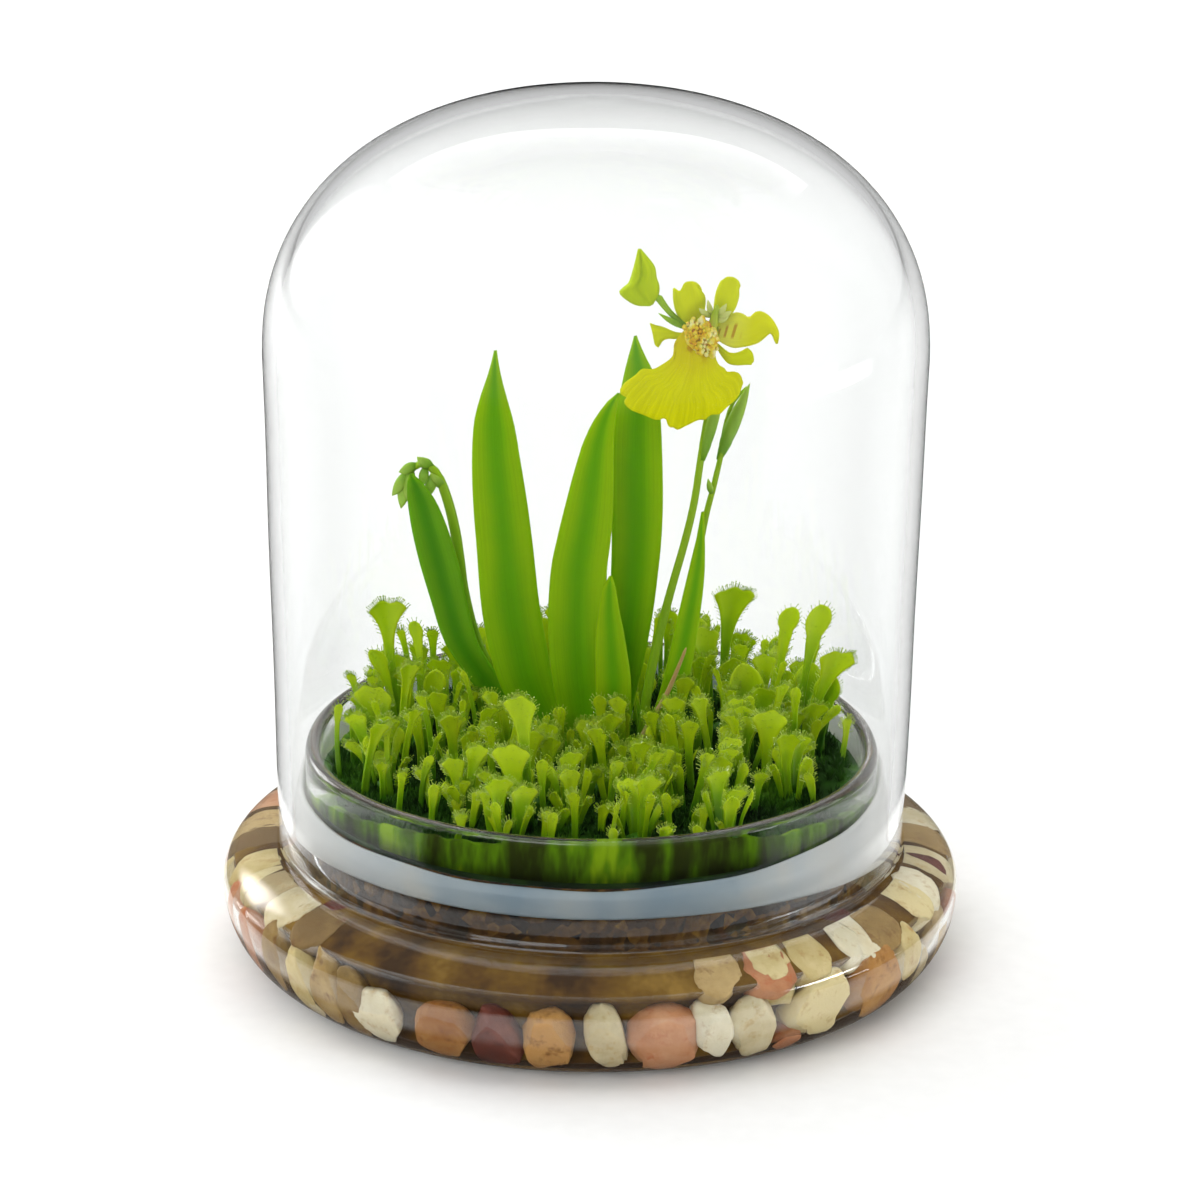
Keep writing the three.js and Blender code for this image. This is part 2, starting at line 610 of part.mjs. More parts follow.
// Crowns of the lower sundews, spread as seeds are in a flower head, clear of the taller plants.
const CROWN_SPREAD = 6.35;
const CROWN_COUNT = 31;
const GOLDEN_ANGLE = THREE.MathUtils.degToRad(137.508);
const CROWN_REACH = 5.5; // furthest that a low sundew's leaf leans out
const CLEAR_OF_TALL = 10.4; // between a low crown and a tall plant's crown
const FANS = 2;
const SPOONS = 4;
const FAN_SPACE = { x: 1.5, y: 1.5, wide: 13.6, deep: 9.2 }; // kept for the orchid's own leaves

function lowCrowns() {
  const taken = Object.values(TALL_SUNDEWS).map((plant) => plant.crown);
  const crowns = [];
  for (let k = 1; k <= CROWN_COUNT; k++) {
    const r = CROWN_SPREAD * Math.sqrt(k - 0.3);
    const x = r * Math.cos(k * GOLDEN_ANGLE);
    const y = r * Math.sin(k * GOLDEN_ANGLE);
    const inFan = Math.hypot((x - FAN_SPACE.x) / FAN_SPACE.wide, (y - FAN_SPACE.y) / FAN_SPACE.deep);
    const near = Math.min(...taken.map(([a, b]) => Math.hypot(x - a, y - b)));
    if (inFan > 1 && near > CLEAR_OF_TALL) crowns.push([x, y]);
  }
  return crowns;
}

// One low sundew: two upright fans in the middle and smaller spoons leaning out round them.
function lowSundew([x, y], seed) {
  const roll = dice(seed);
  const tall = 11.5 + 3.5 * roll() + (2.5 * y) / NECK_INSIDE;
  const parts = [crownStub(x, y)];
  const grow = (angle, reach, height, half, turn, fan) => {
    const tip = v3(x + reach * Math.cos(angle), y + reach * Math.sin(angle), CROWN_Z + height);
    parts.push(sundewLeaf({ foot: leafFoot(x, y, tip), tip, half, turn, fan }));
  };
  const across = 6 * roll();
  for (let k = 0; k < FANS; k++)
    grow(across + Math.PI * k, 1.9, tall * (1 - 0.16 * k), 2.4 + 0.8 * roll(), 0.5 * roll(), true);
  for (let k = 0; k < SPOONS; k++) {
    const angle = across + (2 * Math.PI * (k + 0.5 + 0.3 * roll())) / SPOONS;
    const half = 1.1 + 0.7 * roll();
    grow(angle, CROWN_REACH - half - 0.8 * roll(), tall * (0.4 + 0.4 * roll()), half,
      angle + Math.PI / 2, false);
  }
  return join(parts);
}

// ---------------------------------------------------------------- soil and moss
// A round layer with a rolling top, given as height(x, y).
function layer(radius, low, height, rings, sides) {
  const points = [v3(0, 0, low), v3(0, 0, height(0, 0))];
  const index = [];
  const id = (ring, k) => 2 + (ring - 1) * sides + (k % sides);
  for (let ring = 1; ring <= rings + 1; ring++)
    for (let k = 0; k < sides; k++) {
      const r = (radius * Math.min(ring, rings)) / rings;
      const a = (2 * Math.PI * k) / sides;
      const [x, y] = [r * Math.cos(a), r * Math.sin(a)];
      points.push(v3(x, y, ring > rings ? low : height(x, y)));
    }
  for (let k = 0; k < sides; k++) {
    index.push(1, id(1, k), id(1, k + 1));
    index.push(0, id(rings + 1, k + 1), id(rings + 1, k));
    for (let ring = 1; ring <= rings; ring++) {
      index.push(id(ring, k), id(ring + 1, k), id(ring + 1, k + 1));
      index.push(id(ring, k), id(ring + 1, k + 1), id(ring, k + 1));
    }
  }
  return solidOf(new THREE.BufferGeometry().setFromPoints(points).setIndex(index));
}

const rolling = (x, y) => 0.35 * Math.sin(0.31 * x + 1) * Math.cos(0.27 * y);
const MOSS_MOUND = { x: 35.2, y: -8.5, radius: 5.5, tall: 4.2 };

function mossTop(x, y) {
  const away = Math.hypot(x - MOSS_MOUND.x, y - MOSS_MOUND.y) / MOSS_MOUND.radius;
  return MOSS_TOP_Z - 0.3 + rolling(x, y) + MOSS_MOUND.tall * Math.exp(-away * away);
}

// ---------------------------------------------------------------- assembly
const crowns = lowCrowns();
const allCrowns = [...Object.values(TALL_SUNDEWS).map((plant) => plant.crown), ...crowns];

const slots = [
  ...Object.values(ORCHID_LEAVES).map(leafSlot),
  ...Object.values(STEMS).map(({ points: [[x, y, low], [nextX]], radii }) =>
    hole(x + (nextX - x) / 5, y, low - GAP, RIM_Z, 2 * radii[0] + 2.2, 2 * radii[0] + 0.9)),
];
const crownHoles = allCrowns.map(([x, y]) =>
  roundHole(x, y, CROWN_FOOT_Z - GAP, RIM_Z, CROWN_RADIUS + GAP));

const soil = layer(NECK_INSIDE - GAP, SOIL_BOTTOM_Z, () => SOIL_TOP_Z, 1, TURN_STEPS / 2);
const mossCarpet = layer(NECK_INSIDE - GAP, SOIL_TOP_Z + GAP, mossTop, 4, TURN_STEPS / 2);

add("glass_base", turned(baseProfile()), clearGlass());
add("seal_ring", turned(sealProfile()), silicone());
add("glass_dome", turned(domeProfile()), clearGlass());
add("pebble_bed", pebbleBed(), gravel());
add("soil", slots.reduce((solid, cut) => solid.subtract(cut), soil), peat());
add("moss_carpet", [...slots, ...crownHoles].reduce((solid, cut) => solid.subtract(cut), mossCarpet),
  moss());
for (const [name, leaf] of Object.entries(ORCHID_LEAVES)) add(name, orchidLeaf(leaf), orchidGreen());
for (const name of Object.keys(STEMS))
  add(name, stalk(name), name === "dried_stalk" ? driedStem() : stemGreen());
add("flower_petals", petals(), petalYellow());
add("flower_lip", lip(), petalYellow());
add("flower_column", column(), callusCream());
add("flower_bud", bud(), petalYellow());
for (const [name, plant] of Object.entries(TALL_SUNDEWS)) add(name, tallSundew(plant), sundewGreen());
crowns.forEach((place, k) =>
  add(`sundew_${String(k + 1).padStart(2, "0")}`, lowSundew(place, 91 + 7 * k), sundewGreen()));

export default terrarium;
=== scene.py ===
import math

import bmesh
import bpy
import numpy as np
from mathutils import Matrix, Vector, noise


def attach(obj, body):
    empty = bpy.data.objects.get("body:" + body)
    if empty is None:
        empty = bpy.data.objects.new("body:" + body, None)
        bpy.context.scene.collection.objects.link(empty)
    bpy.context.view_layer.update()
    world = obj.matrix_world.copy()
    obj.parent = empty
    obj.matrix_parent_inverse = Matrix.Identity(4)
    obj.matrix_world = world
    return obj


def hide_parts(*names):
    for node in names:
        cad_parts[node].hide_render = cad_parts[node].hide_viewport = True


# A glass plant terrarium: a blown dome over a squat bowl of pebbles, with a small orchid in flower
# and sundews growing in moss. Sizes are in millimetres, +Z is up, the viewer stands on the -Y side.
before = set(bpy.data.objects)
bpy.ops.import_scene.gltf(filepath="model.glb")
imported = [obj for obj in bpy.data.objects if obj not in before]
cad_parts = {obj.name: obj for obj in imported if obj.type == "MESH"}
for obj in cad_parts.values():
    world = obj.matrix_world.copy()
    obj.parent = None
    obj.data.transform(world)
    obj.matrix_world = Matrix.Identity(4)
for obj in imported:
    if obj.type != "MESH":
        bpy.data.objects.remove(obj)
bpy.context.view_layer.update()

MM = 0.001
BODY = "root"


# ---------------------------------------------------------------- numbers and curves
def dice(seed):
    """Seeded numbers between 0 and 1."""
    state = seed

    def roll():
        nonlocal state
        state = state * 16807 % 2147483647
        return state / 2147483647

    return roll


def linear(code):
    """An sRGB hex colour as linear RGBA."""
    values = [int(code[i:i + 2], 16) / 255 for i in (1, 3, 5)]
    return tuple(v / 12.92 if v <= 0.04045 else ((v + 0.055) / 1.055) ** 2.4 for v in values) + (1.0,)


def ease(value):
    """0 to 1 with a soft start and end."""
    t = np.clip(value, 0, 1)
    return t * t * (3 - 2 * t)


def curve(points, count):
    """Evenly spaced points on a smooth curve through the given ones; a fourth column rides along."""
    given = np.asarray(points, float)
    padded = np.vstack([2 * given[0] - given[1], given, 2 * given[-1] - given[-2]])
    fine = []
    for i in range(1, len(padded) - 2):
        a, b, c, d = padded[i - 1:i + 3]
        t = np.linspace(0, 1, 12, endpoint=False)[:, None]
        fine.append(0.5 * (2 * b + (c - a) * t + (2 * a - 5 * b + 4 * c - d) * t ** 2
                           + (3 * b - a - 3 * c + d) * t ** 3))
    fine = np.vstack(fine + [given[-1:]])
    run = np.r_[0, np.cumsum(np.linalg.norm(np.diff(fine[:, :3], axis=0), axis=1))]
    at = np.linspace(0, run[-1], count)
    return np.column_stack([np.interp(at, run, fine[:, k]) for k in range(fine.shape[1])])


def stations(values, count):
    """The listed values, evenly spaced along a piece, read at count places."""
    last = len(values) - 1
    return np.interp(np.linspace(0, last, count), range(last + 1), values)


def arc(r, z, across_r, across_z, start, end, steps):
    """Points on an ellipse round r, z, between two angles in degrees."""
    angles = np.radians(np.linspace(start, end, steps + 1))
    return [(r + across_r * math.cos(a), z + across_z * math.sin(a)) for a in angles]


def every(millimetres):
    """The scale of a pattern that repeats about every so many millimetres."""
    return 1 / (millimetres * MM)


def unit(vectors):
    return vectors / np.maximum(np.linalg.norm(vectors, axis=-1, keepdims=True), 1e-9)


# ---------------------------------------------------------------- shapes and pieces
class Shape:
    """Points in millimetres with their faces, and what the material reads at each point: how far
    along its own part a point is, how far across it, and the tone of that part."""

    def __init__(self):
        self.points, self.faces, self.marks = [], [], []

    def add(self, points, faces, along=0.0, across=0.0, tone=0.5):
        start = sum(len(p) for p in self.points)
        points = np.asarray(points, float)
        ones = np.ones(len(points))
        self.points.append(points)
        self.marks.append(np.column_stack([ones * along, ones * across, ones * tone]))
        self.faces += [tuple(start + k for k in face) for face in faces]


def rows_faces(rows, n):
    """Faces of closed rows of n points, each end shut by a strip of quads."""
    faces = [(i * n + j, i * n + (j + 1) % n, (i + 1) * n + (j + 1) % n, (i + 1) * n + j)
             for i in range(rows - 1) for j in range(n)]
    last = (rows - 1) * n
    for j in range(n // 2 - 1):
        cap = (j, j + 1, n - 2 - j, n - 1 - j)
        faces.append(tuple(reversed(cap)))
        faces.append(tuple(last + k for k in cap))
    return faces


def add_blade(shape, grid, thick, tone=0.5):
    """A thin closed blade over a grid of points, [row][column], thick as given at each of them."""
    rows, columns = grid.shape[:2]
    along = np.gradient(grid, axis=0)
    across = np.gradient(grid, axis=1)
    out = unit(np.cross(along, across)) * (thick[..., None] / 2)
    ring = np.concatenate([grid + out, (grid - out)[:, ::-1]], axis=1)
    v = np.linspace(-1, 1, columns)
    u = np.repeat(np.linspace(0, 1, rows), 2 * columns)
    shape.add(ring.reshape(-1, 3), rows_faces(rows, 2 * columns), u,
              np.tile(np.r_[v, v[::-1]], rows), tone)


def add_stem(shape, points, radii, sides, rows):
    """A round stem along a curve, with as many radii as it has stations."""
    middle = curve(points, rows)
    along = unit(np.gradient(middle, axis=0))
    side = unit(np.cross(along, [0.0, 1.0, 0.0]))
    front = np.cross(side, along)
    radius = stations(radii, rows)
    radius[-1] *= 0.35
    angle = np.linspace(0, 2 * math.pi, sides, endpoint=False)
    ring = (np.cos(angle)[None, :, None] * side[:, None] - np.sin(angle)[None, :, None] * front[:, None])
    ring = middle[:, None] + ring * radius[:, None, None]
    shape.add(ring.reshape(-1, 3), rows_faces(rows, sides), np.repeat(np.linspace(0, 1, rows), sides),
              np.tile(np.cos(angle), rows))


def turned(profile_at, steps, wave=None):
    """A closed surface of revolution. profile_at(angle) gives [radius, height] points that run from
    axis to axis, or come back to their start; wave(angle, height) pushes a point out."""
    points, rows = [], []
    first = profile_at(0.0)
    for i, (start_r, _) in enumerate(first):
        on_axis = start_r < 1e-6
        rows.append([len(points)] if on_axis else list(range(len(points), len(points) + steps)))
        for k in range(1 if on_axis else steps):
            angle = 2 * math.pi * k / steps
            r, z = profile_at(angle)[i]
            r += wave(angle, z) if wave and r > 1 else 0
            points.append((r * math.cos(angle), r * math.sin(angle), z))
    if first[0][0] > 1e-6:
        rows.append(rows[0])
    faces = []
    for low, high in zip(rows, rows[1:]):
        for k in range(steps):
            corners = [low[k % len(low)], low[(k + 1) % len(low)],
                       high[(k + 1) % len(high)], high[k % len(high)]]
            faces.append(tuple(dict.fromkeys(corners)))
    return points, faces


def put(name, data):
    """A new object in the scene."""
    made = bpy.data.objects.new(name, data)
    bpy.context.scene.collection.objects.link(made)
    return made


def placed(name, mesh, nodes):
    """A finished mesh as a piece of the object, in place of the CAD nodes named."""
    mesh.name = name
    made = put(name, mesh)
    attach(made, BODY)
    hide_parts(*nodes)


def piece(name, shape, material, *nodes, slot):
    """A shape as a finished piece: smooth, facing outwards, with the marks its material reads."""
    mesh = bpy.data.meshes.new(name)
    mesh.from_pydata((np.vstack(shape.points) * MM).tolist(), [], shape.faces)
    marks = np.vstack(shape.marks).astype(np.float32)
    for k, mark in enumerate(("along", "across", "tone")):
        layer = mesh.attributes.new(mark, "FLOAT", "POINT")
        layer.data.foreach_set("value", np.ascontiguousarray(marks[:, k]))
    turned_out = bmesh.new()
    turned_out.from_mesh(mesh)
    bmesh.ops.recalc_face_normals(turned_out, faces=turned_out.faces)
    turned_out.to_mesh(mesh)
    turned_out.free()
    mesh.polygons.foreach_set("use_smooth", [True] * len(mesh.polygons))
    mesh.materials.append(material)
    placed(name, mesh, nodes)


# ---------------------------------------------------------------- materials
def add(tree, kind, sockets=None, stops=None, **settings):
    """Adds a node: its settings, its sockets' values or links, and a ramp's stops. A kind without
    the word Node is a shader node. A node given as a value stands for its first output in use."""
    made = tree.nodes.new(kind if "Node" in kind else "ShaderNode" + kind)
    for key, value in settings.items():
        setattr(made, key, value)
    for key, value in (sockets or {}).items():
        if isinstance(value, bpy.types.Node):
            value = next(output for output in value.outputs if output.enabled)
        if isinstance(value, bpy.types.NodeSocket):
            tree.links.new(value, made.inputs[key])
        else:
            made.inputs[key].default_value = value
    if stops:
        elements = made.color_ramp.elements
        elements.remove(elements[1])
        elements[0].position = stops[0][0]
        for place, _ in stops[1:]:
            elements.new(place)
        for element, (_, code) in zip(elements, stops):
            element.color = linear(code)
    return made


def begun(name, *marks):
    """A new material and its tree, the place on the object in metres, and what the piece's shape
    says at each point: along, across or tone."""
    made = bpy.data.materials.new(name)
    made.use_nodes = True
    tree = made.node_tree
    tree.nodes.clear()
    place = add(tree, "TexCoord").outputs["Object"]
    read = [add(tree, "Attribute", attribute_name=mark).outputs["Fac"] for mark in marks]
    return made, tree, place, *read


def ended(made, shader):
    """The material, with its shader on its surface."""
    add(made.node_tree, "OutputMaterial", {"Surface": shader})
    return made


MIX_A, MIX_B, MIXED = 6, 7, 2  # the two colours that a Mix node takes, and the one it gives


def blown_glass(name, tint, film):
    """Soda-lime glass, blown thin and fire-polished: no grain at all, sharp reflections, and as much
    of a dry water film as it has, pale where one looks along it. Light from the lamps, off the
    plants and from inside the wall passes straight through, as it nearly does."""
    made, tree, _ = begun(name)
    glass = add(tree, "BsdfPrincipled", {
        "Base Color": linear(tint), "Roughness": 0.0, "IOR": 1.5, "Transmission Weight": 1.0,
        "Sheen Weight": film, "Sheen Roughness": 0.3, "Sheen Tint": linear("#fbf8f2")})
    straight = add(tree, "BsdfTransparent", {"Color": linear("#f7f8f8")})
    ray = add(tree, "LightPath")
    slant = add(tree, "LayerWeight", {"Blend": 0.5})
    steep = add(tree, "MapRange", {
        "Value": slant.outputs["Facing"], "From Min": 0.17, "From Max": 0.21, "To Min": 1.0,
        "To Max": 0.0})
    bounced = add(tree, "Math", {0: ray.outputs["Is Reflection Ray"], 1: steep}, operation="MULTIPLY")
    inside = add(tree, "Math", {0: bounced, 1: ray.outputs["Is Diffuse Ray"]}, operation="MAXIMUM")
    passing = add(tree, "Math", {0: ray.outputs["Is Shadow Ray"], 1: inside}, operation="MAXIMUM")
    return ended(made, add(tree, "MixShader", {0: passing, 1: glass, 2: straight}))


def silicone():
    """Cast clear silicone rubber: bluish grey to cream in soft clouds, with a soft satin surface. It is
    painted whiter towards its left and right sides: a painted highlight of the light it scatters where one
    looks along the band."""
    made, tree, place = begun("clear_cast_silicone")
    haze = add(tree, "TexNoise", {"Vector": place, "Scale": every(11.11), "Detail": 3.0})
    colour = add(tree, "ValToRGB", {0: haze}, [(0.3, "#9fb4c2"), (0.55, "#c0ccd2"), (0.75, "#dcdad0")])
    split = add(tree, "SeparateXYZ", {0: place})
    off = add(tree, "Math", {0: split.outputs["X"]}, operation="ABSOLUTE")
    # Painted highlight: whiter towards the left and right sides, where one looks along the band.
    ends = add(tree, "MapRange", {"Value": off, "From Min": 0.02, "From Max": 0.041})
    painted_bright_sides = add(tree, "Mix", {0: ends, MIX_A: colour, MIX_B: linear("#fdfcf9")}, data_type="RGBA")
    rough = add(tree, "MapRange", {"Value": haze, "To Min": 0.3, "To Max": 0.5})
    return ended(made, add(tree, "BsdfPrincipled", {
        "Base Color": painted_bright_sides, "Roughness": rough, "IOR": 1.41,
        "Transmission Weight": 0.5}))


def stone(name, dark, middle, light, stains, grain, roughness):
    """River-worn pebble: the mineral's own mottling in three tones, rusty or dark stains, and grain
    of about the given millimetres."""
    made, tree, place, tone = begun(name, "tone")
    clouds = add(tree, "TexNoise", {
        "Vector": place, "Scale": every(6.25), "Detail": 5.0, "Roughness": 0.62})
    mixed = add(tree, "Math", {0: clouds, 1: 0.55}, operation="MULTIPLY")
    shade = add(tree, "Math", {0: tone, 1: 0.45, 2: mixed}, operation="MULTIPLY_ADD")
    colour = add(tree, "ValToRGB", {0: shade}, [(0.3, dark), (0.5, middle), (0.7, light)])
    stain = add(tree, "TexNoise", {"Vector": place, "Scale": every(2.381), "Detail": 4.0, "Roughness": 0.7})
    reach = add(tree, "MapRange", {"Value": stain, "From Min": 0.55, "From Max": 0.7, "To Max": 0.7})
    stained = add(tree, "Mix", {0: reach, MIX_A: colour, MIX_B: linear(stains)}, data_type="RGBA")
    grains = add(tree, "TexNoise", {"Vector": place, "Scale": every(grain), "Detail": 4.0})
    relief = add(tree, "Bump", {"Strength": 0.45, "Distance": 0.25 * MM, "Height": grains})
    return ended(made, add(tree, "BsdfPrincipled", {
        "Base Color": stained, "Roughness": roughness,
        "Subsurface Weight": 0.15, "Subsurface Radius": (1.0, 0.7, 0.4),
        "Subsurface Scale": 0.8 * MM, "Normal": relief}))


def damp_peat():
    """Damp peat with sand and chips of bark: crumbs a millimetre or two wide, no shine."""
    made, tree, place = begun("damp_peat")
    crumbs = add(tree, "TexVoronoi", {"Vector": place, "Scale": every(1.6)})
    fine = add(tree, "TexNoise", {"Vector": place, "Scale": every(1.4286), "Detail": 6.0})
    split = add(tree, "SeparateColor", {0: crumbs.outputs["Color"]})
    pick = add(tree, "Math", {0: split.outputs["Red"], 1: fine}, operation="MULTIPLY")
    colour = add(tree, "ValToRGB", {0: pick},
                 [(0.0, "#1a0e03"), (0.2, "#442a08"), (0.45, "#6a4710"), (0.8, "#9c762a")])
    height = add(tree, "Math", {0: crumbs.outputs["Distance"], 1: fine}, operation="SUBTRACT")
    relief = add(tree, "Bump", {"Strength": 0.8, "Distance": 0.6 * MM, "Height": height}, invert=True)
    return ended(made, add(tree, "BsdfPrincipled", {
        "Base Color": colour, "Roughness": 0.92, "Normal": relief}))


def amber_silt():
    """Wet silt and fine grit on the glass: dark amber-brown clouds with darker patches, partly the grit's own
    colour and partly painted shade in the gaps between the stones.
    """
    made, tree, place = begun("amber_silt")
    clouds = add(tree, "TexNoise", {"Vector": place, "Scale": every(9.091), "Detail": 2.0})
    fine = add(tree, "TexNoise", {"Vector": place, "Scale": every(1.1111), "Detail": 3.0})
    shade = add(tree, "Math", {0: fine, 1: 0.25, 2: clouds}, operation="MULTIPLY_ADD")
    colour = add(tree, "ValToRGB", {0: shade},
                 [(0.42, "#382306"), (0.56, "#563a0c"), (0.7, "#6e5014"), (0.84, "#8a6a2a")])
    return ended(made, add(tree, "BsdfPrincipled", {
        "Base Color": colour, "Roughness": 0.85, "Specular IOR Level": 0.2}))


def moss_green():
    """Cushion moss: soft patches from deep green to yellow-green, matt."""
    made, tree, place = begun("cushion_moss")
    patches = add(tree, "TexNoise", {"Vector": place, "Scale": every(7.692), "Detail": 4.0})
    colour = add(tree, "ValToRGB", {0: patches},
                 [(0.3, "#0e2205"), (0.5, "#24490a"), (0.62, "#3c6a10"), (0.8, "#64901e")])
    return ended(made, add(tree, "BsdfPrincipled", {
        "Base Color": colour, "Roughness": 0.75, "Specular IOR Level": 0.25}))


def pressed_green():
    """Leaflets and stalks pressed against the neck: soft upright streaks, bright, dark and olive."""
    made, tree, place = begun("growth_pressed_on_glass")
    flat = add(tree, "VectorMath", {0: place, 1: (1.0, 1.0, 0.25)}, operation="MULTIPLY")
    streaks = add(tree, "TexNoise", {"Vector": flat, "Scale": every(2.5), "Detail": 3.0})
    patches = add(tree, "TexNoise", {"Vector": flat, "Scale": every(8.333), "Detail": 1.0})
    both = add(tree, "Math", {0: streaks, 1: patches}, operation="ADD")
    shade = add(tree, "MapRange", {"Value": both, "From Min": 0.74, "From Max": 1.28})
    colour = add(tree, "ValToRGB", {0: shade},
                 [(0.12, "#2c3408"), (0.42, "#405a08"), (0.68, "#5c8408"), (0.9, "#86a812")])
    return ended(made, add(tree, "BsdfPrincipled", {
        "Base Color": colour, "Roughness": 0.8, "Specular IOR Level": 0.1}))


def orchid_leaf_green(name, edge, middle, foot):
    """Living orchid leaf: waxed and firm, lighter where it thins to the edge, with fine veins that
    run lengthwise; light glows through it a little."""
    made, tree, place, across, along = begun(name, "across", "along")
    out = add(tree, "Math", {0: across}, operation="ABSOLUTE")
    soft = add(tree, "TexNoise", {"Vector": place, "Scale": every(14.286), "Detail": 3.0})
    edged = add(tree, "Math", {0: soft, 1: 0.5, 2: out}, operation="MULTIPLY_ADD")
    share = add(tree, "MapRange", {
        "Value": edged, "From Min": 0.3, "From Max": 1.05},
        interpolation_type="SMOOTHSTEP")
    body = add(tree, "Mix", {0: share, MIX_A: linear(middle), MIX_B: linear(edge)}, data_type="RGBA")
    low = add(tree, "MapRange", {"Value": along, "From Max": 0.55, "To Min": 0.85, "To Max": 0.0})
    rising = add(tree, "Mix", {0: low, MIX_A: body, MIX_B: linear(foot)}, data_type="RGBA")
    strip = add(tree, "CombineXYZ", {0: across, 1: along})
    stretch = add(tree, "Mapping", {"Vector": strip, "Scale": (9.0, 0.7, 1.0)})
    veins = add(tree, "TexNoise", {"Vector": stretch, "Scale": 2.6, "Detail": 3.0, "Roughness": 0.6})
    vein = add(tree, "MapRange", {
        "Value": veins, "From Min": 0.35, "From Max": 0.7, "To Min": -0.08, "To Max": 0.1})
    light = add(tree, "Math", {0: vein, 1: 1.0}, operation="ADD")
    veined = add(tree, "VectorMath", {0: rising, "Scale": light}, operation="SCALE")
    relief = add(tree, "Bump", {"Strength": 0.25, "Distance": 0.15 * MM, "Height": veins})
    return ended(made, add(tree, "BsdfPrincipled", {
        "Base Color": veined, "Roughness": 0.5, "Specular IOR Level": 0.15,
        "Subsurface Weight": 0.35, "Subsurface Radius": (0.7, 1.0, 0.1),
        "Subsurface Scale": 1.2 * MM, "Normal": relief}))


def sundew_green(name, foot, middle, head):
    """Sundew leaf: soft and juicy, pale yellow-green towards its tip, darker towards its foot: partly the
    leaf's own colour, partly painted shade where it rises from among the moss.
    """
    made, tree, place, along, tone = begun(name, "along", "tone")
    mottle = add(tree, "TexNoise", {"Vector": place, "Scale": every(2.6316), "Detail": 3.0})
    stain = add(tree, "Math", {0: mottle, 1: 0.3, 2: along}, operation="MULTIPLY_ADD")
    shift = add(tree, "Math", {0: tone, 1: 0.34, 2: stain}, operation="MULTIPLY_ADD")
    # Darker towards the foot: partly painted shade down among the moss and the other leaves.
    colour = add(tree, "ValToRGB", {0: shift}, [(0.32, foot), (0.66, middle), (0.98, head)])
    relief = add(tree, "Bump", {"Strength": 0.3, "Distance": 0.1 * MM, "Height": mottle})
    return ended(made, add(tree, "BsdfPrincipled", {
        "Base Color": colour, "Roughness": 0.45, "Specular IOR Level": 0.4,
        "Subsurface Weight": 0.4, "Subsurface Radius": (0.8, 1.0, 0.2),
        "Subsurface Scale": 1.0 * MM, "Normal": relief}))


def tentacle_green():
    """Sundew tentacles: glassy yellow-green hairs with a bead of clear glue at the tip."""
    made, tree, place = begun("sundew_tentacle")
    beads = add(tree, "TexNoise", {"Vector": place, "Scale": every(1.1111), "Detail": 2.0})
    colour = add(tree, "ValToRGB", {0: beads}, [(0.35, "#8ab012"), (0.65, "#c4d85c")])
    return ended(made, add(tree, "BsdfPrincipled", {
        "Base Color": colour, "Roughness": 0.18, "Coat Weight": 0.5}))


def petal_yellow(name, base, edge, shade, claw_tone, painted_glints=0.1, freckled=0.0):
    """Orchid petal: thin, velvety and sulphur-yellow, with fine veins that fan out and painted glints, pale
    specks over tiny cells; another tone towards its claw, there freckled with brown where it has marks."""
    made, tree, place, across, along = begun(name, "across", "along")
    strip = add(tree, "CombineXYZ", {0: across, 1: along})
    stretch = add(tree, "Mapping", {"Vector": strip, "Scale": (14.0, 1.1, 1.0)})
    veins = add(tree, "TexNoise", {"Vector": stretch, "Scale": 1.6, "Detail": 4.0, "Roughness": 0.7})
    fan = add(tree, "ValToRGB", {0: veins}, [(0.25, shade), (0.5, base), (0.75, edge)])
    claw = add(tree, "MapRange", {"Value": along, "From Max": 0.5, "To Min": 0.75, "To Max": 0.0})
    clawed = add(tree, "Mix", {0: claw, MIX_A: fan, MIX_B: linear(claw_tone)}, data_type="RGBA")
    blots = add(tree, "TexNoise", {"Vector": place, "Scale": every(1.4286), "Detail": 2.0})
    blot = add(tree, "MapRange", {"Value": blots, "From Min": 0.55, "From Max": 0.64, "To Max": freckled})
    near = add(tree, "MapRange", {
        "Value": along, "From Min": 0.16, "From Max": 0.34, "To Min": 1.0, "To Max": 0.0})
    marked = add(tree, "Math", {0: blot, 1: near}, operation="MULTIPLY")
    body = add(tree, "Mix", {0: marked, MIX_A: clawed, MIX_B: linear("#a5680c")}, data_type="RGBA")
    # Painted glints: pale specks where light would glisten on the tiny cells.
    cells = add(tree, "TexVoronoi", {"Vector": place, "Scale": every(0.38462)})
    painted_glint = add(tree, "MapRange", {
        "Value": cells.outputs["Distance"], "From Max": 0.22,
        "To Min": painted_glints, "To Max": 0.0})
    bright = add(tree, "Mix", {0: painted_glint, MIX_A: body, MIX_B: linear("#f0ee9a")}, data_type="RGBA")
    relief = add(tree, "Bump", {"Strength": 0.25, "Distance": 0.1 * MM, "Height": veins})
    return ended(made, add(tree, "BsdfPrincipled", {
        "Base Color": bright, "Roughness": 0.55, "Specular IOR Level": 0.1,
        "Subsurface Weight": 0.35, "Subsurface Radius": (1.0, 0.9, 0.05),
        "Subsurface Scale": 0.7 * MM, "Normal": relief}))


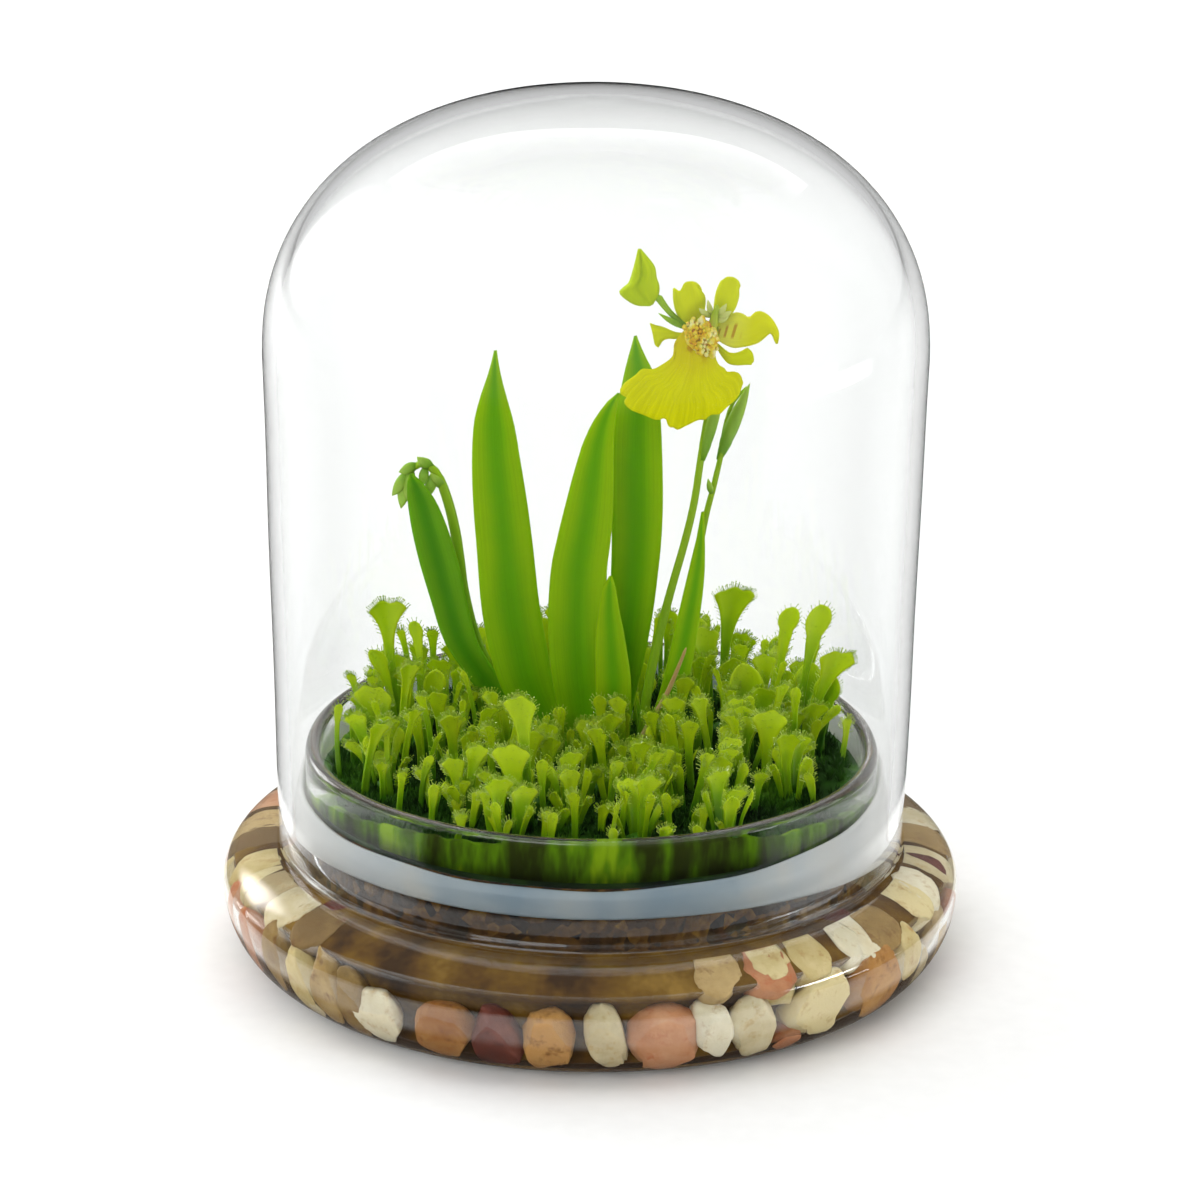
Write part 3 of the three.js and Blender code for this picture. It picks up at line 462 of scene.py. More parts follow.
def barred(made, bars, bar_colour):
    """The same petal with short ochre-brown bars across its middle, close to the claw. The bars are
    counted over the petal's whole length, most of which stays bare."""
    tree = made.node_tree
    shader = next(n for n in tree.nodes if n.type == "BSDF_PRINCIPLED")
    before = shader.inputs["Base Color"].links[0].from_socket
    along, across = [add(tree, "Attribute", attribute_name=mark).outputs["Fac"]
                     for mark in ("along", "across")]
    wobble = add(tree, "Math", {0: across, 1: 0.05, 2: along}, operation="MULTIPLY_ADD")
    line = add(tree, "Math", {0: wobble, 1: 2 * math.pi * bars}, operation="MULTIPLY")
    wave = add(tree, "Math", {0: line}, operation="SINE")
    stroke = add(tree, "MapRange", {"Value": wave, "From Min": 0.3, "From Max": 0.65})
    near = add(tree, "MapRange", {"Value": along, "From Min": 0.36, "From Max": 0.28, "To Max": 0.75})
    out = add(tree, "Math", {0: across}, operation="ABSOLUTE")
    short = add(tree, "MapRange", {
        "Value": out, "From Min": 0.3, "From Max": 0.5, "To Min": 1.0, "To Max": 0.0})
    held = add(tree, "Math", {0: near, 1: short}, operation="MULTIPLY")
    inner = add(tree, "Math", {0: stroke, 1: held}, operation="MULTIPLY")
    mixed = add(tree, "Mix", {0: inner, MIX_A: before, MIX_B: linear(bar_colour)}, data_type="RGBA")
    tree.links.new(mixed.outputs[MIXED], shader.inputs["Base Color"])
    return made


def callus_wax():
    """The flower's warty callus: waxy cream to golden yellow with orange-brown freckles."""
    made, tree, place = begun("waxy_callus")
    wash = add(tree, "TexNoise", {"Vector": place, "Scale": every(1.6129), "Detail": 2.0})
    colour = add(tree, "ValToRGB", {0: wash}, [(0.36, "#f2eaa0"), (0.5, "#ecd430"), (0.62, "#dcb010")])
    freckles = add(tree, "TexNoise", {"Vector": place, "Scale": every(0.66667), "Detail": 1.0})
    spot = add(tree, "MapRange", {"Value": freckles, "From Min": 0.62, "From Max": 0.7, "To Max": 0.8})
    mixed = add(tree, "Mix", {0: spot, MIX_A: colour, MIX_B: linear("#b4581a")}, data_type="RGBA")
    return ended(made, add(tree, "BsdfPrincipled", {
        "Base Color": mixed, "Roughness": 0.35,
        "Subsurface Weight": 0.25, "Subsurface Scale": 0.6 * MM}))


def stem_green(name, foot, tip, roughness=0.4):
    """Flower stem or bract: smooth and juicy, from one green at the foot to a paler one above."""
    made, tree, place, along = begun(name, "along")
    streak = add(tree, "Mapping", {"Vector": place, "Scale": (1.0, 1.0, 0.12)})
    fibres = add(tree, "TexNoise", {"Vector": streak, "Scale": every(1.1111), "Detail": 3.0})
    mixed = add(tree, "Math", {0: fibres, 1: 0.5, 2: along}, operation="MULTIPLY_ADD")
    colour = add(tree, "ValToRGB", {0: mixed}, [(0.2, foot), (1.0, tip)])
    relief = add(tree, "Bump", {"Strength": 0.3, "Distance": 0.1 * MM, "Height": fibres})
    return ended(made, add(tree, "BsdfPrincipled", {
        "Base Color": colour, "Roughness": roughness, "Subsurface Weight": 0.25,
        "Subsurface Radius": (0.7, 1.0, 0.2), "Subsurface Scale": 0.8 * MM,
        "Normal": relief}))


GLASS_CLEAR = blown_glass("blown_soda_lime_dome", "#fdfefe", 0.0)
GLASS_BOWL = blown_glass("blown_soda_lime_bowl", "#fbfcfa", 0.3)
SILICONE = silicone()
STONE_KINDS = {
    "quartz": stone("river_quartz", "#a8946a", "#cfc098", "#e6ddc2", "#b08a48", 0.5, 0.5),
    "limestone": stone("cream_limestone", "#957c48", "#c0aa6e", "#dccb98", "#a87a38", 0.35, 0.6),
    "sandstone": stone("ochre_sandstone", "#63380e", "#925a20", "#bd8c4c", "#6a3c14", 0.25, 0.7),
    "jasper": stone("red_jasper", "#451a0e", "#6c3020", "#9a5a46", "#3a140a", 0.4, 0.5),
    "feldspar": stone("salmon_feldspar", "#a4663e", "#c48a60", "#dcae88", "#b45a2a", 0.3, 0.55),
    "flint": stone("tan_flint", "#73582a", "#9d7f48", "#c2a670", "#6a3c14", 0.4, 0.5),
}
GRIT_AND_PAINTED_SHADE = amber_silt()
PEAT = damp_peat()
MOSS = moss_green()
PRESSED_GREEN = pressed_green()
ORCHID_LEAF = orchid_leaf_green("orchid_leaf", "#94bc04", "#6aac02", "#68aa02")
ORCHID_LEAF_OLD = orchid_leaf_green("older_orchid_leaf", "#6ca410", "#4c9004", "#4c8c04")
SUNDEW_LEAF = sundew_green("sundew_leaf", "#386c06", "#82ac06", "#b8d00c")
TENTACLE = tentacle_green()
PETAL = petal_yellow("sulphur_petal", "#d2da02", "#e0e408", "#bac202", "#b6c004")
LIP_SKIN = petal_yellow("sulphur_lip", "#d6d602", "#e4e208", "#c6c602", "#ccb404", 0.3, 0.7)
PETAL_BARRED = barred(petal_yellow("barred_petal", "#d8da02", "#e6e40c", "#c2c402", "#e0e070"), 9,
                      "#b07818")
BUD_SKIN = petal_yellow("bud_skin", "#bcd202", "#d2de08", "#98b604", "#a8c406")
CALLUS = callus_wax()
STEM = stem_green("flower_stem", "#649606", "#9abf18")
STEM_DRY = stem_green("dried_stem", "#a8ac6c", "#b4945c", 0.75)
BRACT = stem_green("fresh_bract", "#649a04", "#a8c84c")


# ---------------------------------------------------------------- glass and seal
TURN_STEPS = 168
BASE_RADIUS = 55.0
BASE_WIDEST_Z = 11.3
FOOT_RADIUS = 45.8
FLOOR_THICK = 1.3
BASE_WALL = 1.3
SHOULDER_RADIUS = 46.9
SHOULDER_Z = 18.0
CAVITY_TOP_Z = 14.8
SEAT_Z = 17.2
NECK_RADIUS = 42.6
NECK_INSIDE = 40.4
RIM_Z = 33.5
DOME_RIM_RADIUS = 46.5
DOME_RADIUS = 48.3
DOME_SPRING_Z = 92.5
DOME_TOP_Z = 130.0
DOME_WALL = 2.0
CROWN_POWER = 2.26
CROWN_STEPS = 34
GAP = 0.3
SHOULDER_INSET = 0.6  # how much nearer the axis the inner shoulder turns than the outer one
SHOULDER_ROUND = 0.4
SEAT_ROUND = 0.5
RIM_ROUND = 1.1  # half of the neck's wall
# The seal: its radius; where its lip and its band lie at the low side, and how much they climb to
# the high one; where its foot lies at the low side, and how much it sinks to the high one.
SEAL_RADIUS = 44.3
SEAL_LIP = (26.4, 3.9)
SEAL_BAND = (25.3, 2.2)
SEAL_FOOT = (22.3, 3.6)


def turned_piece(name, profile_at, material, node, slot, wave=None):
    """A piece that is one surface of revolution."""
    shape = Shape()
    shape.add(*turned(profile_at, TURN_STEPS, wave))
    piece(name, shape, material, node, slot=slot)


def bowl_profile(_):
    """Up the outside from the foot to the neck's rim, and down the inside to the floor."""
    inside = BASE_RADIUS - BASE_WALL
    top = SHOULDER_RADIUS - SHOULDER_INSET
    return [
        (0, 0), *arc(FOOT_RADIUS, BASE_WIDEST_Z, BASE_RADIUS - FOOT_RADIUS, BASE_WIDEST_Z, -90, 0, 20),
        *arc(SHOULDER_RADIUS, BASE_WIDEST_Z, BASE_RADIUS - SHOULDER_RADIUS,
             SHOULDER_Z - BASE_WIDEST_Z, 0, 90, 16)[1:],
        *arc(SHOULDER_RADIUS, SHOULDER_Z - SHOULDER_ROUND, SHOULDER_ROUND, SHOULDER_ROUND, 90, 180,
             3)[1:],
        *arc(NECK_RADIUS + SEAT_ROUND, SEAT_Z + SEAT_ROUND, SEAT_ROUND, SEAT_ROUND, 270, 180, 3),
        *arc(NECK_RADIUS - RIM_ROUND, RIM_Z - RIM_ROUND, RIM_ROUND, RIM_ROUND, 0, 180, 12),
        (NECK_INSIDE, CAVITY_TOP_Z),
        *arc(top, BASE_WIDEST_Z, inside - top, CAVITY_TOP_Z - BASE_WIDEST_Z, 90, 0, 12),
        *arc(FOOT_RADIUS, BASE_WIDEST_Z, inside - FOOT_RADIUS, BASE_WIDEST_Z - FLOOR_THICK, 0, -90,
             16)[1:],
        (0, FLOOR_THICK)]


def crown(radius, top_z):
    """The dome's crown from the axis to where it springs: a superellipse, squarer than a ball."""
    power = 2 / CROWN_POWER
    angles = [math.pi / 2 * (1 - k / CROWN_STEPS) for k in range(CROWN_STEPS + 1)]
    return [(0 if k == 0 else radius * math.cos(a) ** power,
             DOME_SPRING_Z + (top_z - DOME_SPRING_Z) * math.sin(a) ** power)
            for k, a in enumerate(angles)]


def dome_profile(_):
    """Down the outside from the crown to the rounded rim, and up the inside."""
    rim_z = SEAT_Z + GAP
    half_wall = DOME_WALL / 2
    heights = np.linspace(DOME_SPRING_Z, rim_z + half_wall, 16)[1:]
    share = (heights - rim_z) / (DOME_SPRING_Z - rim_z)
    outer = DOME_RIM_RADIUS + share * (DOME_RADIUS - DOME_RIM_RADIUS)
    wall = list(zip(outer, heights))
    inner = [(r - DOME_WALL, z) for r, z in reversed(wall)]
    lip = arc(DOME_RIM_RADIUS - half_wall, rim_z + half_wall, half_wall, half_wall, 0, -180, 10)[1:-1]
    inside = crown(DOME_RADIUS - DOME_WALL, DOME_TOP_Z - DOME_WALL)
    return [*crown(DOME_RADIUS, DOME_TOP_Z), *wall, *lip, *inner, *reversed(inside)]


def blown_wave(angle, z):
    """The slow unevenness of a wall that was blown and turned by hand."""
    spot = Vector((1.1 * math.cos(angle), 1.1 * math.sin(angle), z / 26))
    return 0.16 * noise.noise(spot) + 0.05 * math.sin(2 * angle + z / 17)


def seal_profile(angle):
    """A band that was squeezed in by hand: higher and lower at one side, its lip uneven."""
    inner, outer = NECK_RADIUS + GAP, SEAL_RADIUS
    ends = 0.5 + 0.5 * math.sin(angle + 0.25)
    rise = float(ease(1.4 * ends))
    lip = SEAL_LIP[0] + SEAL_LIP[1] * rise + 0.25 * math.sin(9 * angle) * math.sin(4 * angle + 1)
    band = SEAL_BAND[0] + SEAL_BAND[1] * rise + 0.25 * math.sin(3 * angle)
    foot = SEAL_FOOT[0] - SEAL_FOOT[1] * float(ease(1.5 * ends))
    return [(inner, foot), (outer - 0.3, foot), (outer, foot + 0.4), (outer, band - 0.4),
            (outer - 0.25, band), (inner + 0.75, lip - 0.35), (inner + 0.4, lip), (inner, lip - 0.1)]


turned_piece("glass_bowl", bowl_profile, GLASS_BOWL, "glass_base", "base_glass")
turned_piece("dome_shell", dome_profile, GLASS_CLEAR, "glass_dome", "dome_glass", blown_wave)
turned_piece("silicone_seal", seal_profile, SILICONE, "seal_ring", "silicone_seal")


# ---------------------------------------------------------------- pebbles
BED_MARGIN = -0.4  # wet stones lie on the glass and reach into it, so no air shows between them
GRIT_MARGIN = -0.05  # the grit lies on the glass too, farther in than the stones
GRIT_DEPTH = 3.4
# The brown zone is left bare of the upper stones so that the dark grit shows there: painted shade on the
# upper bed at the front, under the neck.
BROWN_ZONE = (4.45, 0.55)  # where no stone hides the upper grit, as an angle and a half width
# A span is given as its least and how much more. Sizes and places of the stones that aren't listed:
FILL_TRIES, FILL_Z, FILL_SIZE, FILL_OVERLAP = 900, (4.6, 8.8), (3.4, 4.8), 0.9
SHOULDER_STONES, SHOULDER_STONE_Z, SHOULDER_STONE_SIZE = 40, (13.4, 0.8), (7.0, 1.8)
SHOULDER_STONE_RADIUS = 49.6
INNER_STONES, INNER_Z, INNER_SIZE, INNER_RADIUS = 60, (4.8, 8.4), (6, 3), (43.6, 1.2)
FILL_BROWN_Z, INNER_BROWN_Z = 9.5, 8.2  # above these heights the brown zone has none of them
FILL_KINDS = ("limestone", "quartz", "feldspar", "flint", "sandstone", "limestone", "jasper", "quartz")
SHOULDER_KINDS = ("limestone", "feldspar", "quartz", "limestone", "quartz", "flint")
INNER_KINDS = ("sandstone", "flint", "jasper", "limestone")
# Each group of stones, and in a group each stone and the next, is pressed to its own depth under the
# glass, so that no two of their flat faces lie in one place.
FRONT_STEP, FRONT_TURNS = 0.02, 4
FILL_DEPTH, FILL_STEP, FILL_TURNS = 0.1, 0.01, 8
SHOULDER_DEPTH, SHOULDER_STEP, SHOULDER_TURNS = 0.2, 0.02, 3
INNER_DEPTH = 0.3
FRONT_SINK = 0.5  # every listed height is lowered by this much
FRONT_GROWTH = 1.12  # the outer stones are pressed flat against the glass, so they look large
# The stones seen best from the front: kind, place round the bowl in degrees, height of the middle,
# size along the wall, through it and upright, how blocky, tone.
FRONT_STONES = [
    ("flint", -148, 9.6, 5.4, 5, 8.4, 0.2, 0.4), ("limestone", -141, 8.6, 5.0, 5, 9.2, 0.3, 0.6),
    ("flint", -135, 8.8, 5.6, 5, 9.6, 0.2, 0.6), ("flint", -130, 8.0, 5.0, 5, 9.4, 0.2, 0.3),
    ("quartz", -139, 4.6, 3.6, 3, 3.2, 0.6, 0.5), ("quartz", -125, 6.9, 7.4, 5, 7.2, 0.9, 0.8),
    ("sandstone", -113, 7.2, 8.0, 6, 7.4, 0.4, 0.6), ("jasper", -104.5, 7.4, 6.4, 6, 8.4, 0.8, 0.4),
    ("sandstone", -96, 7.4, 6.6, 6, 8.6, 0.7, 0.9), ("quartz", -88, 8.3, 5.6, 6, 9.0, 1.0, 0.5),
    ("feldspar", -78, 7.6, 9.6, 8, 9.2, 0.1, 0.5), ("quartz", -70.5, 8.4, 4.8, 5, 8.4, 0.8, 0.9),
    ("quartz", -63.5, 8.0, 7.0, 6, 8.8, 0.9, 0.5), ("limestone", -51.5, 8.2, 9.8, 8, 9.0, 0.9, 1.0),
    ("feldspar", -57, 4.6, 4.4, 4, 3.2, 0.5, 0.2), ("sandstone", -39, 8.8, 9.0, 7, 9.8, 0.4, 0.8),
    ("limestone", -31, 10.6, 6.4, 6, 6.6, 0.2, 0.7), ("quartz", -26, 7.6, 4.6, 5, 8.2, 0.8, 0.3),
    ("flint", -18, 8.6, 5.6, 5, 9.4, 0.2, 0.8), ("feldspar", -9, 8.8, 6.4, 6, 8.6, 0.3, 0.2),
    ("limestone", 0, 9.2, 7.6, 6, 8.2, 0.4, 0.8), ("quartz", 10, 9.4, 7.0, 6, 8.6, 0.7, 0.6),
    ("limestone", 19, 9.0, 7.4, 6, 8.8, 0.5, 0.9), ("feldspar", 28, 9.2, 7.0, 6, 8.2, 0.3, 0.6),
    ("feldspar", -157, 9.4, 6.6, 6, 8.6, 0.3, 0.3), ("feldspar", -166, 9.2, 6.8, 6, 8.4, 0.4, 0.5),
    ("limestone", -175, 10.0, 7.6, 6, 7.2, 0.3, 0.7), ("feldspar", 176, 9.2, 7.0, 6, 8.2, 0.4, 0.4),
    ("feldspar", 167, 9.0, 6.6, 6, 8.4, 0.4, 0.6), ("quartz", 158, 9.0, 7.0, 6, 8.4, 0.6, 0.4),
]


def in_brown_zone(angle):
    return abs(angle - BROWN_ZONE[0]) < BROWN_ZONE[1]


def bulge_radius(z, margin=BED_MARGIN):
    """How far out a stone may reach at a height, inside the bowl's rounded wall."""
    above = z > BASE_WIDEST_Z
    middle = SHOULDER_RADIUS - SHOULDER_INSET if above else FOOT_RADIUS
    tall = (CAVITY_TOP_Z - BASE_WIDEST_Z if above else BASE_WIDEST_Z - FLOOR_THICK) - margin
    wide = BASE_RADIUS - BASE_WALL - middle - margin
    share = min(1.0, abs(z - BASE_WIDEST_Z) / tall)
    return middle + wide * math.sqrt(1 - share * share)


def ball(level):
    """An icosphere's points and faces, of radius 1."""
    made = bmesh.new()
    bmesh.ops.create_icosphere(made, subdivisions=level, radius=1.0)
    points = np.array([v.co for v in made.verts])
    faces = [tuple(v.index for v in f.verts) for f in made.faces]
    made.free()
    return points, faces


BALLS = {level: ball(level) for level in (2, 3, 4)}


def stone_form(level, seed, blocky):
    """A worn, chipped stone of radius 1: a ball or rounded block with flats and soft lumps."""
    points, faces = BALLS[level]
    roll = dice(seed)
    points = np.sign(points) * np.abs(points) ** (1 - 0.42 * blocky)
    for _ in range(5 + int(9 * blocky)):
        way = unit(np.array([roll() - 0.5, roll() - 0.5, roll() - 0.5]))
        depth = 0.92 - (0.12 + 0.1 * blocky) * roll()
        over = np.maximum(points @ way - depth, 0)
        points -= np.outer(0.9 * over, way)
    shift = Vector((roll() * 50, roll() * 50, roll() * 50))
    lumps = [0.10 * noise.noise(Vector(p) * 1.4 + shift) + 0.045 * noise.noise(Vector(p) * 4.2 + shift)
             for p in points]
    return points * (1 + np.array(lumps))[:, None], faces


def pressed_in(points, margin):
    """Points pulled in to the bowl's cavity, less the margin, where they reach past it."""
    low, high = FLOOR_THICK + 0.4 * margin, CAVITY_TOP_Z - 0.9 * margin
    z = np.clip(points[:, 2], low, high)
    reach = np.hypot(points[:, 0], points[:, 1])
    room = np.array([bulge_radius(h, margin) for h in z])
    pull = np.minimum(1, room / np.maximum(reach, 1e-6))
    return np.column_stack([points[:, 0] * pull, points[:, 1] * pull, z])


def add_stone(shape, level, angle, r, z, size, blocky, tone, seed, margin=BED_MARGIN):
    """One stone whose sizes are along the wall, through it and upright."""
    points, faces = stone_form(level, seed, blocky)
    points = points * (np.array(size) / 2)
    tilt = 0.5 * (dice(seed + 3)() - 0.5)
    lean = np.array(Matrix.Rotation(tilt, 3, "Y"))
    around = np.array(Matrix.Rotation(angle + math.pi / 2, 3, "Z"))
    points = points @ lean.T @ around.T + [r * math.cos(angle), r * math.sin(angle), z]
    shape.add(pressed_in(points, margin), faces, 0.5, 0.0, tone)


def grit_profile(_):
    """The wet grit that fills the bed behind the outer stones, and lies on the glass under and over
    them."""
    low, high = FLOOR_THICK - 0.05, CAVITY_TOP_Z + 0.05
    rise = low + (high - low) * np.sin(np.linspace(0, math.pi / 2, 34))
    side = [(bulge_radius(z, GRIT_MARGIN) - GRIT_DEPTH * ease((z - 2.6) / 3) * (1 - ease((z - 12) / 1.6)), z)
            for z in rise]
    return [(0, low), *side, (0, high)]


def grit_wave(angle, z):
    """The grit's uneven face between the stones; it lies smooth on the glass above and below."""
    spot = Vector((9 * math.cos(angle), 9 * math.sin(angle), z / 3))
    return (-0.3 + 0.5 * noise.noise(spot)) * float(ease((z - 2.4) / 2) * (1 - ease((z - 11.5) / 1.6)))


def within(span, roll):
    return span[0] + span[1] * roll()


def one_of(kinds, roll):
    return kinds[int(len(kinds) * roll())]


def pebble_pieces():
    """The front stones as listed, stones that fill the wall between them, a ring under the shoulder and a
    ring behind them all, with one piece for each kind of stone. The ring behind takes only the darker half of
    its tones, painted shade deep in the bed under the neck."""
    shapes = {kind: Shape() for kind in STONE_KINDS}
    taken = []
    for k, (kind, degrees, z, along, through, tall, blocky, tone) in enumerate(FRONT_STONES):
        angle = math.radians(degrees)
        z -= FRONT_SINK
        r = bulge_radius(z) - 0.42 * through
        size = FRONT_GROWTH * np.array([along, through, tall])
        taken.append((angle % (2 * math.pi), z, max(along, tall) / 2))
        add_stone(shapes[kind], 4, angle, r, z, size, blocky, tone, 900 + 17 * k,
                  BED_MARGIN + FRONT_STEP * (k % FRONT_TURNS))
    roll = dice(5150)
    for k in range(FILL_TRIES):
        angle, z, size = 2 * math.pi * roll(), within(FILL_Z, roll), within(FILL_SIZE, roll)
        if z > FILL_BROWN_Z and in_brown_zone(angle):
            continue
        gaps = [math.hypot(48 * math.sin((angle - a) / 2) * 2, z - h) - s - 0.42 * size
                for a, h, s in taken]
        if min(gaps) < -FILL_OVERLAP:
            continue
        taken.append((angle, z, size / 2))
        kind = one_of(FILL_KINDS, roll)
        r = bulge_radius(z) - 0.45 * size - 0.6 * roll()
        add_stone(shapes[kind], 3, angle, r, z, (size, 0.9 * size, size * (0.8 + 0.4 * roll())), roll(),
                  roll(), 3000 + 13 * k, BED_MARGIN + FILL_DEPTH + FILL_STEP * (k % FILL_TURNS))
    for k in range(SHOULDER_STONES):
        angle = 2 * math.pi * (k + 0.5 * roll()) / SHOULDER_STONES
        z = within(SHOULDER_STONE_Z, roll)
        if in_brown_zone(angle):
            continue
        size = within(SHOULDER_STONE_SIZE, roll)
        kind = one_of(SHOULDER_KINDS, roll)
        add_stone(shapes[kind], 4, angle, SHOULDER_STONE_RADIUS + roll(), z, (size, 7.0, 0.7 * size),
                  0.2 + 0.4 * roll(), roll(), 5000 + 19 * k,
                  BED_MARGIN + SHOULDER_DEPTH + SHOULDER_STEP * (k % SHOULDER_TURNS))
    # Painted shade: these stones take only the darker half of their tones, deep in the bed under the neck.
    for k in range(INNER_STONES):
        angle, z = 2 * math.pi * (k + 0.6 * roll()) / INNER_STONES, within(INNER_Z, roll)
        if z > INNER_BROWN_Z and in_brown_zone(angle):
            continue
        kind = one_of(INNER_KINDS, roll)
        size = within(INNER_SIZE, roll)
        add_stone(shapes[kind], 3, angle, within(INNER_RADIUS, roll), z, (size, size, size), roll(),
                  0.5 * roll(), 7000 + 11 * k, BED_MARGIN + INNER_DEPTH)
    for kind, shape in shapes.items():
        piece(f"pebbles_{kind}", shape, STONE_KINDS[kind], "pebble_bed", slot="gravel")
    turned_piece("grit_core", grit_profile, GRIT_AND_PAINTED_SHADE, "pebble_bed", "gravel", grit_wave)


pebble_pieces()


# ---------------------------------------------------------------- soil and moss
SOIL_TOP_Z = 25.6
MOSS_TOP_Z = 28.6
MOUND = (35.2, -8.5, 5.5, 4.2)  # place, radius and height of the fluffy moss cushion
PLUG_LOW_Z = 14.86
GROWTH_LOW_Z = 26.6
TUFT_RADIUS = 38.6
TUFTS_PER_SQUARE_METRE = 0.62e6


def moss_height(x, y):
    """The top of the moss: a rolling carpet with one cushion."""
    away = math.hypot(x - MOUND[0], y - MOUND[1]) / MOUND[2]
    lumps = 0.3 * noise.noise(Vector((x / 3, y / 3, 4)))
    return (MOSS_TOP_Z - 0.6 + 0.35 * math.sin(0.31 * x + 1) * math.cos(0.27 * y) + lumps
            + MOUND[3] * math.exp(-away * away))


def round_top(radius, height, rings, sides, middle):
    """An open round surface with its height at each place: rings of points round a middle one."""
    points, faces = [(0, 0, middle)], []
    for ring in range(1, rings + 1):
        for k in range(sides):
            a = 2 * math.pi * k / sides
            x, y = radius * ring / rings * math.cos(a), radius * ring / rings * math.sin(a)
            points.append((x, y, height(x, y)))
    for k in range(sides):
        faces.append((0, 1 + k, 1 + (k + 1) % sides))
        for ring in range(rings - 1):
            a, b = 1 + ring * sides + k, 1 + ring * sides + (k + 1) % sides
            faces.append((a, a + sides, b + sides, b))
    return points, faces


def layer_shape(radius, low, height, rings, sides):
    """A round layer with a rolling top, an upright side and a flat underside."""
    points, faces = round_top(radius, height, rings, sides, height(0, 0))
    edge = len(points) - sides
    points += [(x, y, low) for x, y, _ in points[edge:]] + [(0, 0, low)]
    for k in range(sides):
        a, b = edge + k, edge + (k + 1) % sides
        faces += [(a, a + sides, b + sides, b), (len(points) - 1, b + sides, a + sides)]
    shape = Shape()
    shape.add(points, faces)
    return shape


def plain_object(name, points, faces, marks=()):
    """A bare mesh in metres that only feeds a node tree."""
    mesh = bpy.data.meshes.new(name)
    mesh.from_pydata((np.asarray(points) * MM).tolist(), [], faces)
    for mark, kind, values in marks:
        layer = mesh.attributes.new(mark, kind, "POINT")
        field = "vector" if kind == "FLOAT_VECTOR" else "value"
        layer.data.foreach_set(field, np.asarray(values, np.float32).ravel())
    return put(name, mesh)


def new_tree(name, wanted):
    """A geometry node tree with the named inputs, and what its input node gives."""
    tree = bpy.data.node_groups.new(name, "GeometryNodeTree")
    for label, kind in [("Geometry", "NodeSocketGeometry"), *wanted]:
        tree.interface.new_socket(label, in_out="INPUT", socket_type=kind)
    tree.interface.new_socket("Geometry", in_out="OUTPUT", socket_type="NodeSocketGeometry")
    return tree, add(tree, "NodeGroupInput").outputs


def ended_in_copies(tree, given, part, points, turn, scale):
    """The tree, ended: a copy of the part stands on each point, all real and of one material."""
    source = add(tree, "GeometryNodeObjectInfo", {"Object": given[part]})
    copies = add(tree, "GeometryNodeInstanceOnPoints", {
        "Points": points, "Instance": source.outputs["Geometry"], "Rotation": turn, "Scale": scale})
    real = add(tree, "GeometryNodeRealizeInstances", {0: copies})
    painted = add(tree, "GeometryNodeSetMaterial", {0: real, "Material": given["Material"]})
    add(tree, "NodeGroupOutput", {0: painted})
    return tree


def grown(source, tree, values):
    """The mesh that the tree makes of a bare object, which is then thrown away."""
    modifier = source.modifiers.new(tree.name, "NODES")
    modifier.node_group = tree
    for item in tree.interface.items_tree:
        if item.in_out == "INPUT" and item.name in values:
            modifier[item.identifier] = values[item.name]
    graph = bpy.context.evaluated_depsgraph_get()
    mesh = bpy.data.meshes.new_from_object(source.evaluated_get(graph), depsgraph=graph)
    source.modifiers.remove(modifier)
    bpy.data.objects.remove(source)
    return mesh


def sprig_tree():
    """Moss sprigs strewn over a surface, each turned and sized by chance."""
    tree, given = new_tree("moss_sprigs", [
        ("Sprig", "NodeSocketObject"), ("Per Square Metre", "NodeSocketFloat"),
        ("Seed", "NodeSocketInt"), ("Smallest", "NodeSocketFloat"), ("Largest", "NodeSocketFloat"),
        ("Lean", "NodeSocketFloat"), ("Material", "NodeSocketMaterial")])
    strewn = add(tree, "GeometryNodeDistributePointsOnFaces", {
        "Mesh": given["Geometry"], "Density": given["Per Square Metre"], "Seed": given["Seed"]})
    size = add(tree, "FunctionNodeRandomValue", {
        2: given["Smallest"], 3: given["Largest"], "Seed": given["Seed"]}, data_type="FLOAT")
    lean = add(tree, "Math", {0: given["Lean"], 1: -1.0}, operation="MULTIPLY")
    lowest = add(tree, "CombineXYZ", {0: lean, 1: lean})
    highest = add(tree, "CombineXYZ", {0: given["Lean"], 1: given["Lean"], 2: 2 * math.pi})
    spin = add(tree, "FunctionNodeRandomValue", {
        0: lowest, 1: highest, "Seed": given["Seed"]}, data_type="FLOAT_VECTOR")
    return ended_in_copies(tree, given, "Sprig", strewn, spin, size)


def sprig_mesh():
    """One moss sprig, 1 mm tall: a ring of narrow leaflets round a short stem."""
    points, faces = [], []
    for k in range(7):
        a = 2 * math.pi * k / 7
        out, up = (0.55, 0.75) if k % 2 else (0.3, 1.0)
        way = np.array([math.cos(a), math.sin(a), 0])
        side = np.array([-math.sin(a), math.cos(a), 0]) * 0.10
        foot = way * 0.04
        belly = way * out * 0.6 + [0, 0, up * 0.5]
        start = len(points)
        points += [foot - side * 0.5, foot + side * 0.5, belly - side, belly + side,
                   belly + [0, 0, 0.08] - way * 0.05, way * out + [0, 0, up]]
        faces += [tuple(start + i for i in f) for f in (
            (0, 2, 3, 1), (0, 4, 2), (1, 3, 4), (0, 1, 4), (2, 5, 3), (2, 4, 5), (4, 3, 5))]
    return points, faces


def pressed_profile(angle):
    """Low growth pressed against the inside of the neck, highest in front."""
    spot = Vector((7 * math.cos(angle), 7 * math.sin(angle), 2.0))
    front = max(0.0, -math.sin(angle)) ** 1.5
    top = MOSS_TOP_Z - 0.9 + front * (4.5 + 1.2 * noise.noise(spot)) + 0.2 * math.sin(61 * angle)
    outer = NECK_INSIDE + 0.08
    return [(outer - 1.6, GROWTH_LOW_Z), (outer, GROWTH_LOW_Z), (outer, top - 0.3), (outer - 0.3, top),
            (outer - 1.2, top - 0.5)]


